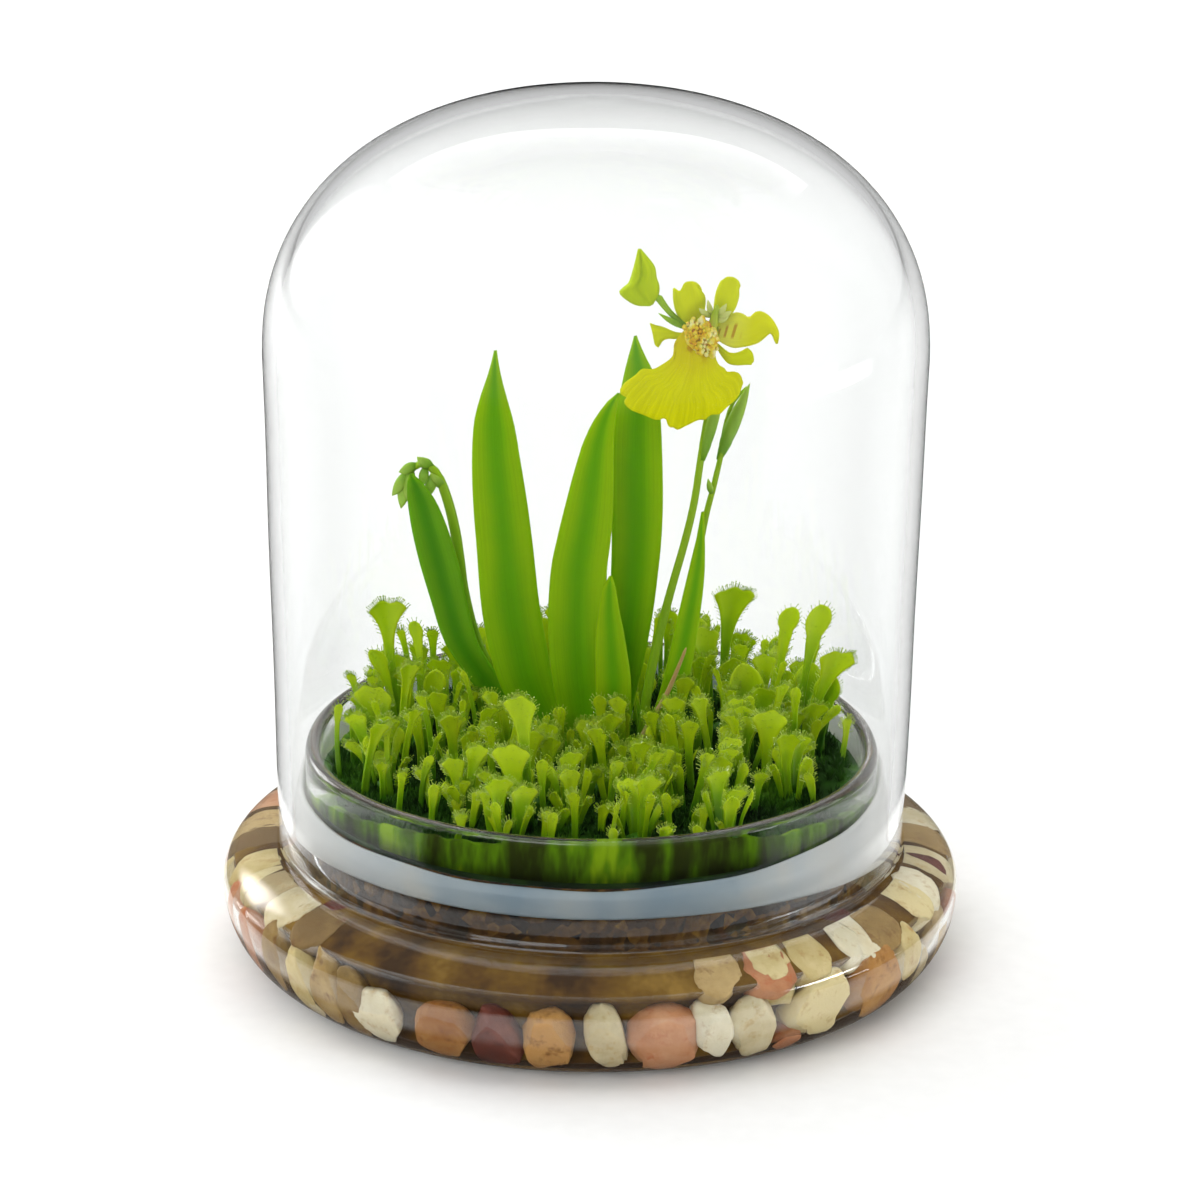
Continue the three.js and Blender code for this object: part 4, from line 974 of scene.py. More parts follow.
def soil_and_moss():
    """The peat in the neck, the moss on it with its tufts, and the growth on the glass round it."""
    plug = layer_shape(NECK_INSIDE + 0.05, PLUG_LOW_Z, lambda x, y: SOIL_TOP_Z, 2, 96)
    piece("soil_plug", plug, PEAT, "soil", slot="peat_soil")
    carpet = layer_shape(NECK_INSIDE - GAP, SOIL_TOP_Z + 0.05, moss_height, 36, 110)
    piece("moss_surface", carpet, MOSS, "moss_carpet", slot="moss")
    turned_piece("growth_on_glass", pressed_profile, PRESSED_GREEN, "moss_carpet", "moss")
    ground = plain_object("moss_ground", *round_top(
        TUFT_RADIUS, lambda x, y: moss_height(x, y) - 0.1, 24, 72, moss_height(0, 0)))
    sprig = plain_object("moss_sprig", *sprig_mesh())
    mesh = grown(ground, sprig_tree(), {
        "Sprig": sprig, "Per Square Metre": TUFTS_PER_SQUARE_METRE, "Seed": 11, "Smallest": 1.3,
        "Largest": 2.3, "Lean": 0.45, "Material": MOSS})
    placed("moss_tufts", mesh, ["moss_carpet"])
    bpy.data.objects.remove(sprig)


soil_and_moss()


# ---------------------------------------------------------------- orchid leaves
FAN_BASE_Z = 21.9
# How far behind the fan's middle a leaf stands, its turn in degrees, how deeply it is folded, and
# its middle line from the soil to the tip as [x, height, half width].
ORCHID_LEAVES = {
    "orchid_leaf_outer": (3.6, -12, 0.25, [
        [-6.4, FAN_BASE_Z, 1.6], [-8.8, 29, 1.9], [-12.2, 35, 2.2], [-16.2, 41, 2.5],
        [-19.6, 46.6, 2.6], [-21.4, 53, 2.8], [-22.9, 59, 3.0], [-24.2, 64, 2.8],
        [-25.4, 68.4, 2.2], [-26.5, 71.4, 1.1], [-27.0, 72.6, 0.08]]),
    "orchid_leaf_tall_left": (1.3, 8, 0.2, [
        [-2.6, FAN_BASE_Z, 1.8], [-4.4, 29, 2.6], [-7.2, 35, 3.4], [-9.7, 41, 4.0],
        [-11.2, 47.4, 4.3], [-12.3, 54, 4.3], [-13.1, 62.5, 4.15], [-13.8, 69.3, 3.95],
        [-14.4, 75.4, 3.55], [-14.8, 80.9, 2.95], [-14.9, 84.6, 2.05], [-14.8, 88.2, 1.0],
        [-14.6, 92.1, 0.06]]),
    "orchid_leaf_middle": (-1.0, -6, 0.3, [
        [1.4, FAN_BASE_Z, 1.8], [0.6, 29, 2.8], [-0.9, 36, 3.7], [-1.9, 44, 4.2],
        [-2.3, 52, 4.35], [-2.2, 59.6, 4.1], [-1.5, 64.6, 3.9], [-0.8, 69.5, 3.5],
        [-0.2, 74.4, 2.9], [0.4, 78.7, 2.25], [1.3, 82.4, 1.5], [2.5, 85.3, 0.7],
        [3.4, 86.5, 0.06]]),
    "orchid_leaf_small": (-2.6, 4, 0.2, [
        [3.0, FAN_BASE_Z, 1.5], [3.2, 32, 2.3], [3.1, 42, 2.6], [2.6, 49, 2.2], [2.3, 54, 1.5],
        [2.3, 57.4, 0.9], [2.5, 59.2, 0.08]]),
    "orchid_leaf_tall_right": (3.4, -4, 0.2, [
        [3.2, FAN_BASE_Z, 1.3], [3.3, 30, 1.7], [4.1, 38, 2.2], [4.9, 44, 2.7], [5.6, 51, 3.15],
        [6.0, 57.6, 3.45], [6.25, 63.2, 3.65], [6.2, 69, 3.85], [6.1, 75, 3.8], [6.1, 81.4, 3.45],
        [6.3, 85, 2.8], [6.25, 88.7, 2.05], [5.9, 91.2, 1.1], [5.7, 94.0, 0.06]]),
    "orchid_sheath_leaf": (0.9, 12, 0.2, [
        [8.6, FAN_BASE_Z, 1.4], [9.8, 32, 1.9], [12.2, 41, 2.0], [14.0, 51, 1.7],
        [15.3, 60, 1.1], [15.9, 68.1, 0.06]]),
}


def orchid_leaf_shape(y, turn, fold, line):
    """A strap leaf: keeled along its middle, its edges bent back, thick at the keel."""
    rows, columns = 44, 13
    line = np.array(line)
    course = curve(np.column_stack([line[:, 0], np.full(len(line), y), line[:, 1:]]), rows)
    middle, half = course[:, :3], np.maximum(course[:, 3], 0.05)
    yaw = math.radians(turn)
    side = np.array([math.cos(yaw), math.sin(yaw), 0])
    v = np.linspace(-1, 1, columns)
    out = half[:, None] * v[None, :]
    bend = np.sqrt(out ** 2 + 0.25) - 0.5
    ripple = 0.12 * np.sin(np.linspace(0, 15, rows))[:, None] * v[None, :] ** 3
    grid = middle[:, None] + out[..., None] * side
    grid[..., 1] -= fold * bend + ripple
    thick = 0.32 + 0.55 * (1 - v[None, :] ** 2) * np.linspace(1, 0.45, rows)[:, None]
    shape = Shape()
    add_blade(shape, grid, thick)
    return shape


for leaf, form in ORCHID_LEAVES.items():
    piece(f"{leaf}_blade", orchid_leaf_shape(*form),
          ORCHID_LEAF_OLD if leaf == "orchid_leaf_outer" else ORCHID_LEAF, leaf, slot="orchid_leaf")


# ---------------------------------------------------------------- flower stalks
# The points of each stalk from the soil up, and its radii from foot to tip.
STALKS = {
    "flower_stalk": ([[6.6, -1.2, FAN_BASE_Z], [7.9, -1.0, 38.7], [9.5, -0.8, 48], [11.3, -0.6, 56],
                      [13.3, -0.4, 63.8], [14.6, -0.2, 70], [15.6, 0, 77.7], [16.5, 0.4, 84],
                      [16.9, 0.8, 90], [16.3, 0.2, 94.2]], [0.75, 0.8, 0.7, 0.6, 0.55, 0.5, 0.45]),
    "second_stalk": ([[9.9, 3.4, FAN_BASE_Z], [12.0, 3.3, 41], [14.3, 3.2, 54], [16.4, 3.0, 66.5],
                      [17.4, 2.8, 71], [18.5, 2.4, 76.5], [19.0, 2.2, 80.5], [20.0, 2.0, 84.2],
                      [22.0, 1.8, 86.9]], [0.7, 0.65, 0.6, 0.5, 0.42, 0.25]),
    "spent_spray": ([[-9.4, 6.6, FAN_BASE_Z], [-12.8, 6.8, 36], [-17.0, 6.6, 45.4], [-19.1, 6.4, 53.2],
                     [-19.9, 6.2, 58.5], [-20.8, 6.0, 64], [-21.9, 5.8, 68.4], [-23.2, 5.6, 71.8],
                     [-24.9, 5.5, 73.5], [-26.5, 5.5, 73.2], [-28.0, 5.5, 71.9]],
                    [0.6, 0.55, 0.5, 0.5, 0.62, 0.8, 0.75, 0.45]),
    "dried_stalk": ([[5.6, -4.6, FAN_BASE_Z + 1], [6.8, -4.6, 33], [9.2, -4.4, 38.2],
                     [11.0, -4.2, 41.6], [12.9, -3.9, 46.4], [13.7, -3.7, 48.6]],
                    [0.4, 0.45, 0.4, 0.35, 0.22]),
}
BRACT_THICK = 0.22
# Bracts: foot, tip and half width.
BRACTS = {
    "flower_stalk": [([15.7, -1.1, 76.6], [18.6, -1.0, 89.2], 0.8)],
    "second_stalk": [
        ([17.2, 2.6, 70.4], [16.6, 1.6, 73.0], 0.45), ([18.15, 2.4, 75.6], [22.4, 1.0, 87.6], 1.0)],
    "spent_spray": [
        ([-24.0, 5.4, 73.0], [-26.2, 4.4, 74.9], 0.8), ([-26.2, 5.4, 73.4], [-28.9, 4.5, 72.6], 0.8),
        ([-27.2, 5.4, 72.6], [-29.9, 4.6, 68.9], 0.9), ([-27.6, 5.4, 72.4], [-28.6, 4.8, 66.9], 1.0),
        ([-27.0, 5.2, 72.8], [-27.7, 4.2, 68.4], 0.8), ([-25.0, 5.4, 73.2], [-25.5, 4.6, 70.4], 0.7),
        ([-23.6, 5.5, 72.4], [-24.8, 4.6, 68.6], 0.8), ([-22.2, 5.6, 69.8], [-24.2, 4.8, 72.4], 0.7)],
}


def add_bract(shape, foot, tip, half):
    """A small pointed leaf, cupped round its middle."""
    rows, columns = 9, 5
    a, b = np.array(foot), np.array(tip)
    u = np.linspace(0, 1, rows)
    side = unit(np.cross(b - a, [0.0, 1.0, 0.0]))
    width = half * np.sin(math.pi * (0.1 + 0.89 * u)) ** 0.9
    v = np.linspace(-1, 1, columns)
    out = width[:, None] * v[None, :]
    grid = (a + np.outer(u, b - a))[:, None] + out[..., None] * side
    grid[..., 1] += 0.5 * out ** 2 - 0.5 * np.sin(math.pi * u)[:, None]
    add_blade(shape, grid, np.full((rows, columns), BRACT_THICK))


def stalk_pieces():
    """Each stalk, and the bracts on it as a piece of their own."""
    for name, (points, radii) in STALKS.items():
        dry = name == "dried_stalk"
        shape = Shape()
        add_stem(shape, points, radii, 12, 44)
        piece(f"{name}_stem", shape, STEM_DRY if dry else STEM, name,
              slot="dried_stem" if dry else "flower_stem")
        if name in BRACTS:
            leaves = Shape()
            for foot, tip, half in BRACTS[name]:
                add_bract(leaves, foot, tip, half)
            piece(f"{name}_bracts", leaves, BRACT, name, slot="flower_stem")


stalk_pieces()


# ---------------------------------------------------------------- the flower
PETAL_THICK = 0.3


def patch(left, right, low, high, depth, rows, columns):
    """A grid of points over a patch of the flower's plane between four border lines of [x, z],
    pushed back or forward by depth(u, v)."""
    u = np.linspace(0, 1, rows)[:, None, None]
    v = np.linspace(0, 1, columns)[None, :, None]
    a, b = curve(left, rows)[:, None], curve(right, rows)[:, None]
    c, d = curve(low, columns)[None], curve(high, columns)[None]
    flat = ((1 - v) * a + v * b + (1 - u) * c + u * d
            - (1 - u) * ((1 - v) * c[:, :1] + v * c[:, -1:])
            - u * ((1 - v) * d[:, :1] + v * d[:, -1:]))
    y = depth(u[..., 0], v[..., 0]) + np.zeros((rows, columns))
    return np.stack([flat[..., 0], y, flat[..., 1]], axis=-1)


# Each petal: left border, right border from claw to tip, how far it leans forward, how far its
# middle is cupped, and how much its edge is ruffled.
PETALS = {
    "petal_upper_left": ([[12.9, 96.4], [11.9, 98.0], [11.1, 100.4], [11.0, 102.8]],
                         [[15.7, 96.9], [15.5, 98.9], [15.5, 101.2], [14.7, 103.1]],
                         [[11.0, 102.8], [11.9, 102.5], [12.5, 103.7], [13.4, 104.0], [14.1, 103.8],
                          [14.7, 103.1]], 1.2, 1.2, 0.2),
    "petal_upper_right": ([[16.2, 96.9], [16.8, 98.6], [17.1, 101.6], [17.8, 103.8]],
                          [[17.4, 96.7], [19.4, 98.8], [20.2, 100.6], [20.5, 103.1]],
                          [[17.8, 103.8], [18.5, 104.5], [19.6, 104.5], [20.3, 103.9], [20.5, 103.1]],
                          0.7, 1.1, 0.15),
    "petal_right": ([[17.4, 97.0], [19.0, 98.5], [20.1, 99.0], [21.0, 98.8], [22.0, 98.3], [22.9, 99.2],
                     [23.8, 99.3], [24.9, 98.6], [25.8, 97.2], [26.2, 96.0], [26.0, 94.9]],
                    [[17.4, 94.9], [18.7, 94.1], [19.9, 93.7], [21.1, 93.9], [22.3, 94.2], [23.3, 94.6],
                     [24.2, 95.4], [24.9, 96.3], [25.4, 95.7], [25.9, 94.9]],
                    [[26.0, 94.9], [25.95, 94.88], [25.9, 94.9]], 1.6, 0.8, 0.25),
    "sepal_lower_right": ([[17.2, 94.6], [19.0, 93.0], [20.7, 93.1], [21.8, 93.8]],
                          [[17.2, 94.0], [18.5, 92.0], [19.7, 91.2], [22.4, 91.2]],
                          [[21.8, 93.8], [22.5, 93.2], [22.8, 92.0], [22.4, 91.2]], 0.4, 0.4, 0.1),
    "sepal_left": ([[14.4, 95.3], [11.6, 95.1], [9.8, 94.9], [8.9, 93.8]],
                   [[14.4, 96.0], [11.6, 95.9], [9.8, 96.6], [7.7, 97.5]],
                   [[8.9, 93.8], [8.4, 94.4], [8.1, 95.9], [7.7, 97.5]], 0.7, 0.4, 0.15),
}


def petal_pieces():
    """Three petals and two sepals round the column, each leaning forward."""
    for name, (left, right, tip, forward, cup, ruffle) in PETALS.items():
        def depth(u, v):
            edge = np.abs(2 * v - 1)
            lean = -1.3 - forward * u * u + cup * (edge ** 2 - 0.5) * np.sin(math.pi * u * 0.8)
            return lean + ruffle * u * edge * np.sin(9 * u + 14 * v)

        grid = patch(left, right, [left[0], right[0]], tip, depth, 24, 15)
        shape = Shape()
        add_blade(shape, grid, np.full(grid.shape[:2], PETAL_THICK))
        skin = PETAL_BARRED if name == "petal_right" else PETAL
        piece(name, shape, skin, "flower_petals", slot="petal")


# The lip's borders from the column down, and its hem from left to right, as [x, z].
LIP_LEFT = [[12.7, 96.7], [11.3, 94.9], [11.0, 92.9], [9.2, 91.5], [8.1, 91.0], [6.7, 91.0], [5.8, 90.1],
            [4.4, 88.9], [3.6, 87.7]]
LIP_RIGHT = [[17.6, 96.4], [17.0, 94.4], [17.2, 92.6], [17.7, 91.6], [18.5, 91.1], [18.9, 90.6], [20.1, 90.6],
             [20.8, 90.1], [21.2, 88.9]]
LIP_HEM = [[3.6, 87.7], [3.7, 87.0], [4.6, 86.5], [4.2, 85.9], [5.1, 85.0], [6.9, 84.4], [8.7, 83.9],
           [9.5, 84.1], [10.1, 84.2], [10.6, 82.9], [11.2, 82.8], [11.9, 82.4], [13.1, 83.0],
           [14.8, 83.8], [15.8, 83.8], [16.6, 84.5], [17.9, 84.6], [18.8, 85.4], [19.8, 86.2],
           [20.6, 87.2], [21.2, 88.9]]


def lip_depth(u, v):
    """The lip arches forward under the column, then hangs as a skirt with a waved hem."""
    across = 2 * v - 1
    skirt = -2.3 - 2.9 * np.sin(math.pi / 2 * u) + 2.3 * across ** 2 * u
    wave = 0.13 * u ** 2 * np.sin(9 * v + 1.0) + 0.06 * u ** 6 * np.sin(31 * v)
    fold = -0.55 * np.exp(-((v - 0.36) / 0.09) ** 2) * u
    return skirt + wave + fold + 0.3 * np.sin(math.pi * u) * across


def lip_piece():
    """The broad lobed lip, the flower's largest part."""
    grid = patch(LIP_LEFT, LIP_RIGHT, [LIP_LEFT[0], LIP_RIGHT[0]], LIP_HEM, lip_depth, 40, 64)
    lip = Shape()
    add_blade(lip, grid, np.full(grid.shape[:2], PETAL_THICK))
    piece("lip_skirt", lip, LIP_SKIN, "flower_lip", slot="petal")


def add_wart(shape, level, place, size, tone):
    """A small smooth lump."""
    points, faces = BALLS[level]
    shape.add(points * np.array(size) + place, faces, 0.5, 0.0, tone)


CALLUS_X, CALLUS_Z = 15.1, 95.9
WARTS = 54


def callus_pieces():
    """A heap of small warts in a spiral on a waxy cushion, the green seat of the flower behind it,
    and over it the column with its frilled wings."""
    warts = Shape()
    roll = dice(77)
    for k in range(WARTS):
        a, r = 2.4 * k, 0.36 * math.sqrt(k)
        x = CALLUS_X + 0.95 * r * math.cos(a)
        z = CALLUS_Z + r * math.sin(a) - 0.45 * (x - CALLUS_X)
        size = 0.26 + 0.26 * roll()
        add_wart(warts, 2, (x, -3.5 - 0.8 * max(0, 1 - r / 2.6) + 0.2 * roll(), z),
                 (size, size * 1.1, size * (0.9 + 0.6 * roll())), roll())
    add_wart(warts, 3, (CALLUS_X, -2.95, CALLUS_Z), (2.4, 0.85, 2.5), 0.5)
    piece("callus_warts", warts, CALLUS, "flower_column", slot="flower_callus")
    socket = Shape()
    add_wart(socket, 3, (15.9, -1.2, 95.7), (1.8, 1.0, 1.9), 0.5)
    piece("flower_receptacle", socket, STEM, "flower_column", slot="flower_stem")
    hood = Shape()
    add_stem(hood, [[16.4, -2.2, 96.6], [16.8, -2.7, 97.9], [17.0, -3.0, 99.3], [17.3, -3.2, 100.6]],
             [0.8, 0.7, 0.5, 0.3], 14, 18)
    piece("column_hood", hood, stem_green("column_hood", "#c2c832", "#a4bc1c", 0.45), "flower_column",
          slot="flower_callus")
    wings = Shape()
    for foot, tip, half in [([16.4, -2.5, 98.7], [14.7, -2.8, 100.0], 0.45),
                            ([16.5, -2.5, 98.9], [15.9, -2.8, 101.3], 0.4),
                            ([17.3, -2.4, 98.7], [18.6, -2.7, 100.7], 0.45),
                            ([17.3, -2.4, 98.4], [19.3, -2.7, 99.6], 0.5),
                            ([17.2, -2.4, 98.0], [18.9, -2.6, 98.7], 0.4)]:
        add_bract(wings, foot, tip, half)
    piece("column_wings", wings, stem_green("column_wings", "#b8c038", "#ccd27c", 0.5), "flower_column",
          slot="flower_callus")


petal_pieces()
lip_piece()
callus_pieces()


# ---------------------------------------------------------------- the bud
BUD_MIDDLE_Y = -1.6


def bud_pieces():
    """A closed bud with a fold down its front, on its own short stalk."""
    left = [[7.6, 99.9], [5.4, 100.1], [3.2, 101.9], [4.5, 103.4], [5.2, 105.7], [5.8, 108.4]]
    right = [[8.2, 100.3], [8.9, 101.6], [9.0, 103.0], [8.6, 104.2], [8.2, 106.0], [6.3, 108.4]]

    def front(u, v):
        puff = np.sin(math.pi * np.clip(u, 0.02, 0.98)) ** 0.7
        belly = 1.35 * puff * np.sqrt(np.maximum(0, 1 - (2 * v - 1) ** 2))
        return BUD_MIDDLE_Y - belly + 0.75 * puff * np.exp(-((v - 0.42 - 0.1 * u) / 0.11) ** 2)

    grid = patch(left, right, [left[0], right[0]], [left[-1], right[-1]], front, 24, 17)
    back = grid.copy()
    back[..., 1] = 2 * BUD_MIDDLE_Y - grid[..., 1]
    rows, columns = grid.shape[:2]
    ring = np.concatenate([grid, back[:, ::-1][:, 1:-1]], axis=1)
    n = ring.shape[1]
    v = np.linspace(-1, 1, columns)
    shape = Shape()
    shape.add(ring.reshape(-1, 3), rows_faces(rows, n), np.repeat(np.linspace(0.3, 1, rows), n),
              np.tile(np.r_[v, v[-2:0:-1]], rows))
    piece("bud_hood", shape, BUD_SKIN, "flower_bud", slot="bud")
    stalk = Shape()
    add_stem(stalk, [[14.15, -1.2, 96.4], [12.0, -1.3, 97.6], [10.2, -1.5, 99.4], [8.6, -1.6, 101.6]],
             [0.5, 0.42, 0.45, 0.6], 10, 16)
    add_bract(stalk, [13.0, -1.5, 96.6], [8.9, -1.6, 98.9], 0.42)
    piece("bud_stalk", stalk, STEM, "flower_bud", slot="bud")


bud_pieces()


# ---------------------------------------------------------------- sundews
CROWN_Z = MOSS_TOP_Z + 0.5
CROWN_FOOT_Z = SOIL_TOP_Z + 1.1
CROWN_RADIUS = 1.9
FOOT_Z = MOSS_TOP_Z - 0.6
FOOT_SHARE = 0.45  # how far out from its crown to its tip a leaf leaves the moss
STALK_HALF = 0.55
LOW_SHARE = 0.66  # the low sundews' leaves are narrower here than their solids in the CAD model
SPREAD_COUNT = 190
SPREAD_STEP = 2.75
SPREAD_CLEAR = 1.1  # how far the foot of a spread leaf stays from the feet of the listed ones
RIM_CLEAR = 0.8  # how far a leaf stays from the neck
TENTACLE_LENGTH = 0.8
FAN_FOOT = (0.8, 1.6, 9.6, 4.2)  # middle, half width and half depth of the orchid's own foot
# The leaves listed one by one: foot x and y, tip x and height, half width, 1 for a fan or 0 for a
# spoon.
SEEN_LEAVES = [
    (-8.6, -25, -10.0, 48.6, 2.4, 1), (-9.7, -27, -11.5, 41.4, 2.7, 1), (-6.4, -27, -6.9, 39.9, 0.9, 0),
    (-17.4, -11.5, -17.4, 39, 0.8, 0), (-20.2, -9.5, -20.4, 39.8, 1.6, 1), (-25.2, -3.5, -26.6, 37.8, 1.4, 1),
    (-31.0, 5, -33.2, 38.3, 3.0, 1), (-29.4, -12, -30.8, 34.9, 1.7, 1), (-16.8, 16.5, -19.2, 38, 0.9, 0),
    (-4.8, -4.5, -5.1, 39.4, 0.8, 0), (1.3, -4.6, 1.0, 41.5, 1.0, 0), (1.7, -7, 1.0, 38.3, 1.7, 1),
    (4.2, -4.8, 3.6, 40.9, 1.4, 1), (-23.2, -18, -24.6, 34.4, 1.0, 1), (-19.0, -24, -19.2, 32.2, 0.8, 1),
    (-2.1, -11.5, -2.3, 35.5, 0.7, 0), (-1.6, -11.7, -0.7, 36.3, 0.35, 0), (2.2, -16.7, 0.9, 33.9, 0.9, 1),
    (2.6, -18, 3.0, 35.2, 0.32, 0), (1.6, -27, 2.1, 33, 1.0, 1), (-12.4, -23, -15.3, 36.2, 1.1, 1),
    (12.3, -4.5, 11.8, 41, 1.8, 1), (6.8, -23.5, 9.4, 39.8, 1.0, 1), (13.4, -17, 12.3, 35.3, 0.8, 0),
    (14.4, -21, 16.6, 38.6, 1.1, 1), (17.3, -19, 19.9, 38.6, 1.5, 1), (10.3, -24.5, 11.9, 32.8, 1.0, 1),
    (14.7, -25, 16.2, 32.4, 1.1, 0), (17.6, -24.5, 19.3, 32.8, 0.4, 0), (5.0, -11.5, 4.3, 36.3, 0.8, 1),
    (6.5, -21, 6.7, 35, 0.7, 0), (23.1, 9.5, 22.9, 41.1, 2.7, 0), (21.3, -5, 21.5, 39.8, 2.9, 1),
    (25.6, -9, 26.1, 40.4, 2.6, 1), (27.3, -10.8, 30.9, 36.5, 1.6, 1), (32.2, 5.5, 36.4, 36.4, 1.2, 0),
    (7.1, -27, 9.1, 30.6, 1.0, 0), (-14.4, -12, -14.9, 39.1, 1.4, 1), (-6.1, -12, -6.6, 39.6, 1.7, 1),
    (-3.0, -5, -3.1, 36.1, 0.6, 0), (-22.5, -0.5, -23.3, 40.1, 1.7, 1), (-27.6, 12, -29.0, 38.9, 1.6, 1),
    (-28.7, -4.5, -30.1, 36.5, 1.3, 1), (-32.5, -4.5, -35.5, 33.3, 1.3, 1), (-5.0, -27.5, -3.6, 32.7, 0.9, 0),
    (16.2, 14, 16.8, 41, 1.9, 1), (19.6, 9, 20.4, 38.5, 1.7, 1), (25, 14, 26.1, 41, 1.9, 1),
    (28.2, 9, 29.4, 40.5, 1.7, 0), (31.4, 9, 32.8, 41.8, 2.2, 0), (34.2, 5, 35.6, 41.6, 2.0, 0),
    (32, 2, 33.4, 38.2, 2.0, 1), (29, 2, 30.2, 37, 1.8, 1), (22.9, 1, 23.8, 35.5, 1.5, 1),
    (15.5, 4, 16.1, 37.4, 1.5, 1), (-28.7, 14, -29.9, 40.4, 1.7, 1), (-25.5, 18, -26.6, 41, 1.5, 1),
    (-22.6, 14, -23.5, 40, 2.0, 1), (-16.4, 16, -17.1, 39.4, 1.7, 1), (-13.6, 10, -14.2, 37.6, 1.5, 1),
    (-34, 8, -35.2, 36.4, 1.6, 1), (-31.5, 12, -32.8, 39, 1.6, 1), (-20.1, 19, -21, 41, 1.9, 1),
    (27.3, 18, 28.4, 43, 1.5, 0), (21.8, 20, 22.7, 42.5, 1.7, 1), (-10.6, 20, -11.1, 38.6, 1.5, 1),
    (14.8, -10.5, 14.3, 39.6, 1.4, 1), (23.4, -19, 24.4, 35.2, 1.1, 1), (9.0, -5.4, 8.6, 39.2, 1.2, 1),
]
# The tall sundews: place of the crown, and each leaf's tip, half width, turn in degrees and whether
# it is a fan.
TALL_SUNDEWS = {
    "sundew_tall_left": ([-26.5, 8.5], [
        ([-31.4, 12.5, 49.6], 2.9, 10, True), ([-33.6, 7.5, 43.6], 1.5, 40, False),
        ([-27.0, 14.0, 46.0], 1.2, -20, False), ([-23.5, 5.5, 41.0], 1.7, 0, False)]),
    "sundew_tall_back": ([-15.5, 15.5], [
        ([-18.6, 17.5, 43.6], 3.0, 15, True), ([-12.2, 17.0, 42.4], 2.2, -10, True),
        ([-15.0, 11.6, 39.0], 1.5, 0, False)]),
    "sundew_broad_right": ([19.4, 15.2], [
        ([22.0, 18.6, 50.2], 3.1, -8, True), ([16.6, 17.4, 44.0], 2.6, 12, True),
        ([21.6, 11.4, 41.2], 2.4, 0, True)]),
    "sundew_lobed_right": ([27.6, 5.2], [
        ([30.0, 9.6, 50.4], 1.6, -15, False), ([34.4, 7.6, 51.4], 2.0, 10, False),
        ([37.2, 3.0, 45.4], 2.8, -20, True), ([36.6, -1.0, 38.4], 1.1, 20, False),
        ([25.2, 1.4, 41.0], 2.4, 5, True)]),
}
LOW_TALL, LOW_FAN_HALF, LOW_SPOON_HALF = (11.5, 3.5), (2.4, 0.8), (1.1, 0.7)  # spans
CROWN_SPREAD = 6.35
CROWN_COUNT = 31
GOLDEN_ANGLE = math.radians(137.508)
CROWN_REACH = 5.5
CLEAR_OF_TALL = 10.4
FAN_SPACE = (1.5, 1.5, 13.6, 9.2)  # middle, half width and half depth kept for the orchid


def leaf_width(u, half, length, fan, flare):
    """Half width along a leaf: a stalk that widens into a trumpet with rounded corners, the later
    the larger its flare is, or ends in a small spoon."""
    stalk = STALK_HALF * min(1.0, 0.5 + 0.3 * half)
    if fan:
        full = 1 - 0.4 * half / length
        opening = np.clip(u / full, 0, 1) ** flare
        corner = np.sqrt(1 - 0.5 * np.clip((u - full) / (1 - full), 0, 1) ** 2)
        return (stalk + (half - stalk) * opening) * corner
    tall = 1.35 * half / length
    head = half * np.sqrt(np.maximum(0.0, 1 - ((u - 1 + tall) / tall) ** 2))
    neck = 0.9 * stalk + 0.35 * half * ease((u - 1 + 4.2 * tall) / (2.4 * tall))
    return np.maximum(0.06, np.where(u > 1 - tall, head, np.maximum(neck, head)))


def add_sundew_leaf(shape, hairs, foot, tip, half, turn, fan, roll):
    """One leaf over its middle line, and the places of the tentacles on its edge and its face."""
    rows, columns = 17, 9
    foot, tip = np.array(foot, float), np.array(tip, float)
    length = np.linalg.norm(tip - foot)
    sway = (roll() - 0.5) * 0.16 * length
    rise = np.array([foot[0] + 0.25 * (tip[0] - foot[0]) + sway, foot[1] + 0.25 * (tip[1] - foot[1]),
                     foot[2] + 0.6 * (tip[2] - foot[2])])
    u = (1 - (1 - np.linspace(0, 1, rows)) ** 1.5)[:, None]
    v = np.linspace(-1, 1, columns)
    middle = (1 - u) ** 2 * foot + 2 * u * (1 - u) * rise + u ** 2 * tip
    along = unit(2 * (1 - u) * (rise - foot) + 2 * u * (tip - rise))
    side = np.array([math.cos(turn), math.sin(turn), 0])
    front = unit(np.cross(side, along))
    flare = min(9.0, -1.7 / math.log(max(0.2, 1 - 2 * half / length))) * (0.75 + 0.5 * roll())
    width = leaf_width(u[:, 0], half, length, fan, flare)
    waves = 0.09 * half * np.sin(5 * v + 6 * roll()) - 0.12 * half * v ** 4
    lift = np.outer(u[:, 0] ** 9, waves if fan else 0 * v)
    cup = (0.2 + 0.4 * roll()) * width[:, None] * v[None, :] ** 2
    nod = (roll() - 0.65) * half * u ** 6
    grid = (middle[:, None] + (width[:, None] * v)[..., None] * side
            + (cup + nod)[..., None] * front[:, None] + lift[..., None] * along[:, None])
    thin = (0.6 - 0.34 * u) * (1 - 0.45 * v[None, :] ** 2) * min(1.0, 0.5 + 0.4 * half)
    add_blade(shape, grid, thin, roll())
    add_tentacles(hairs, grid, side, along, front, half, fan, roll)


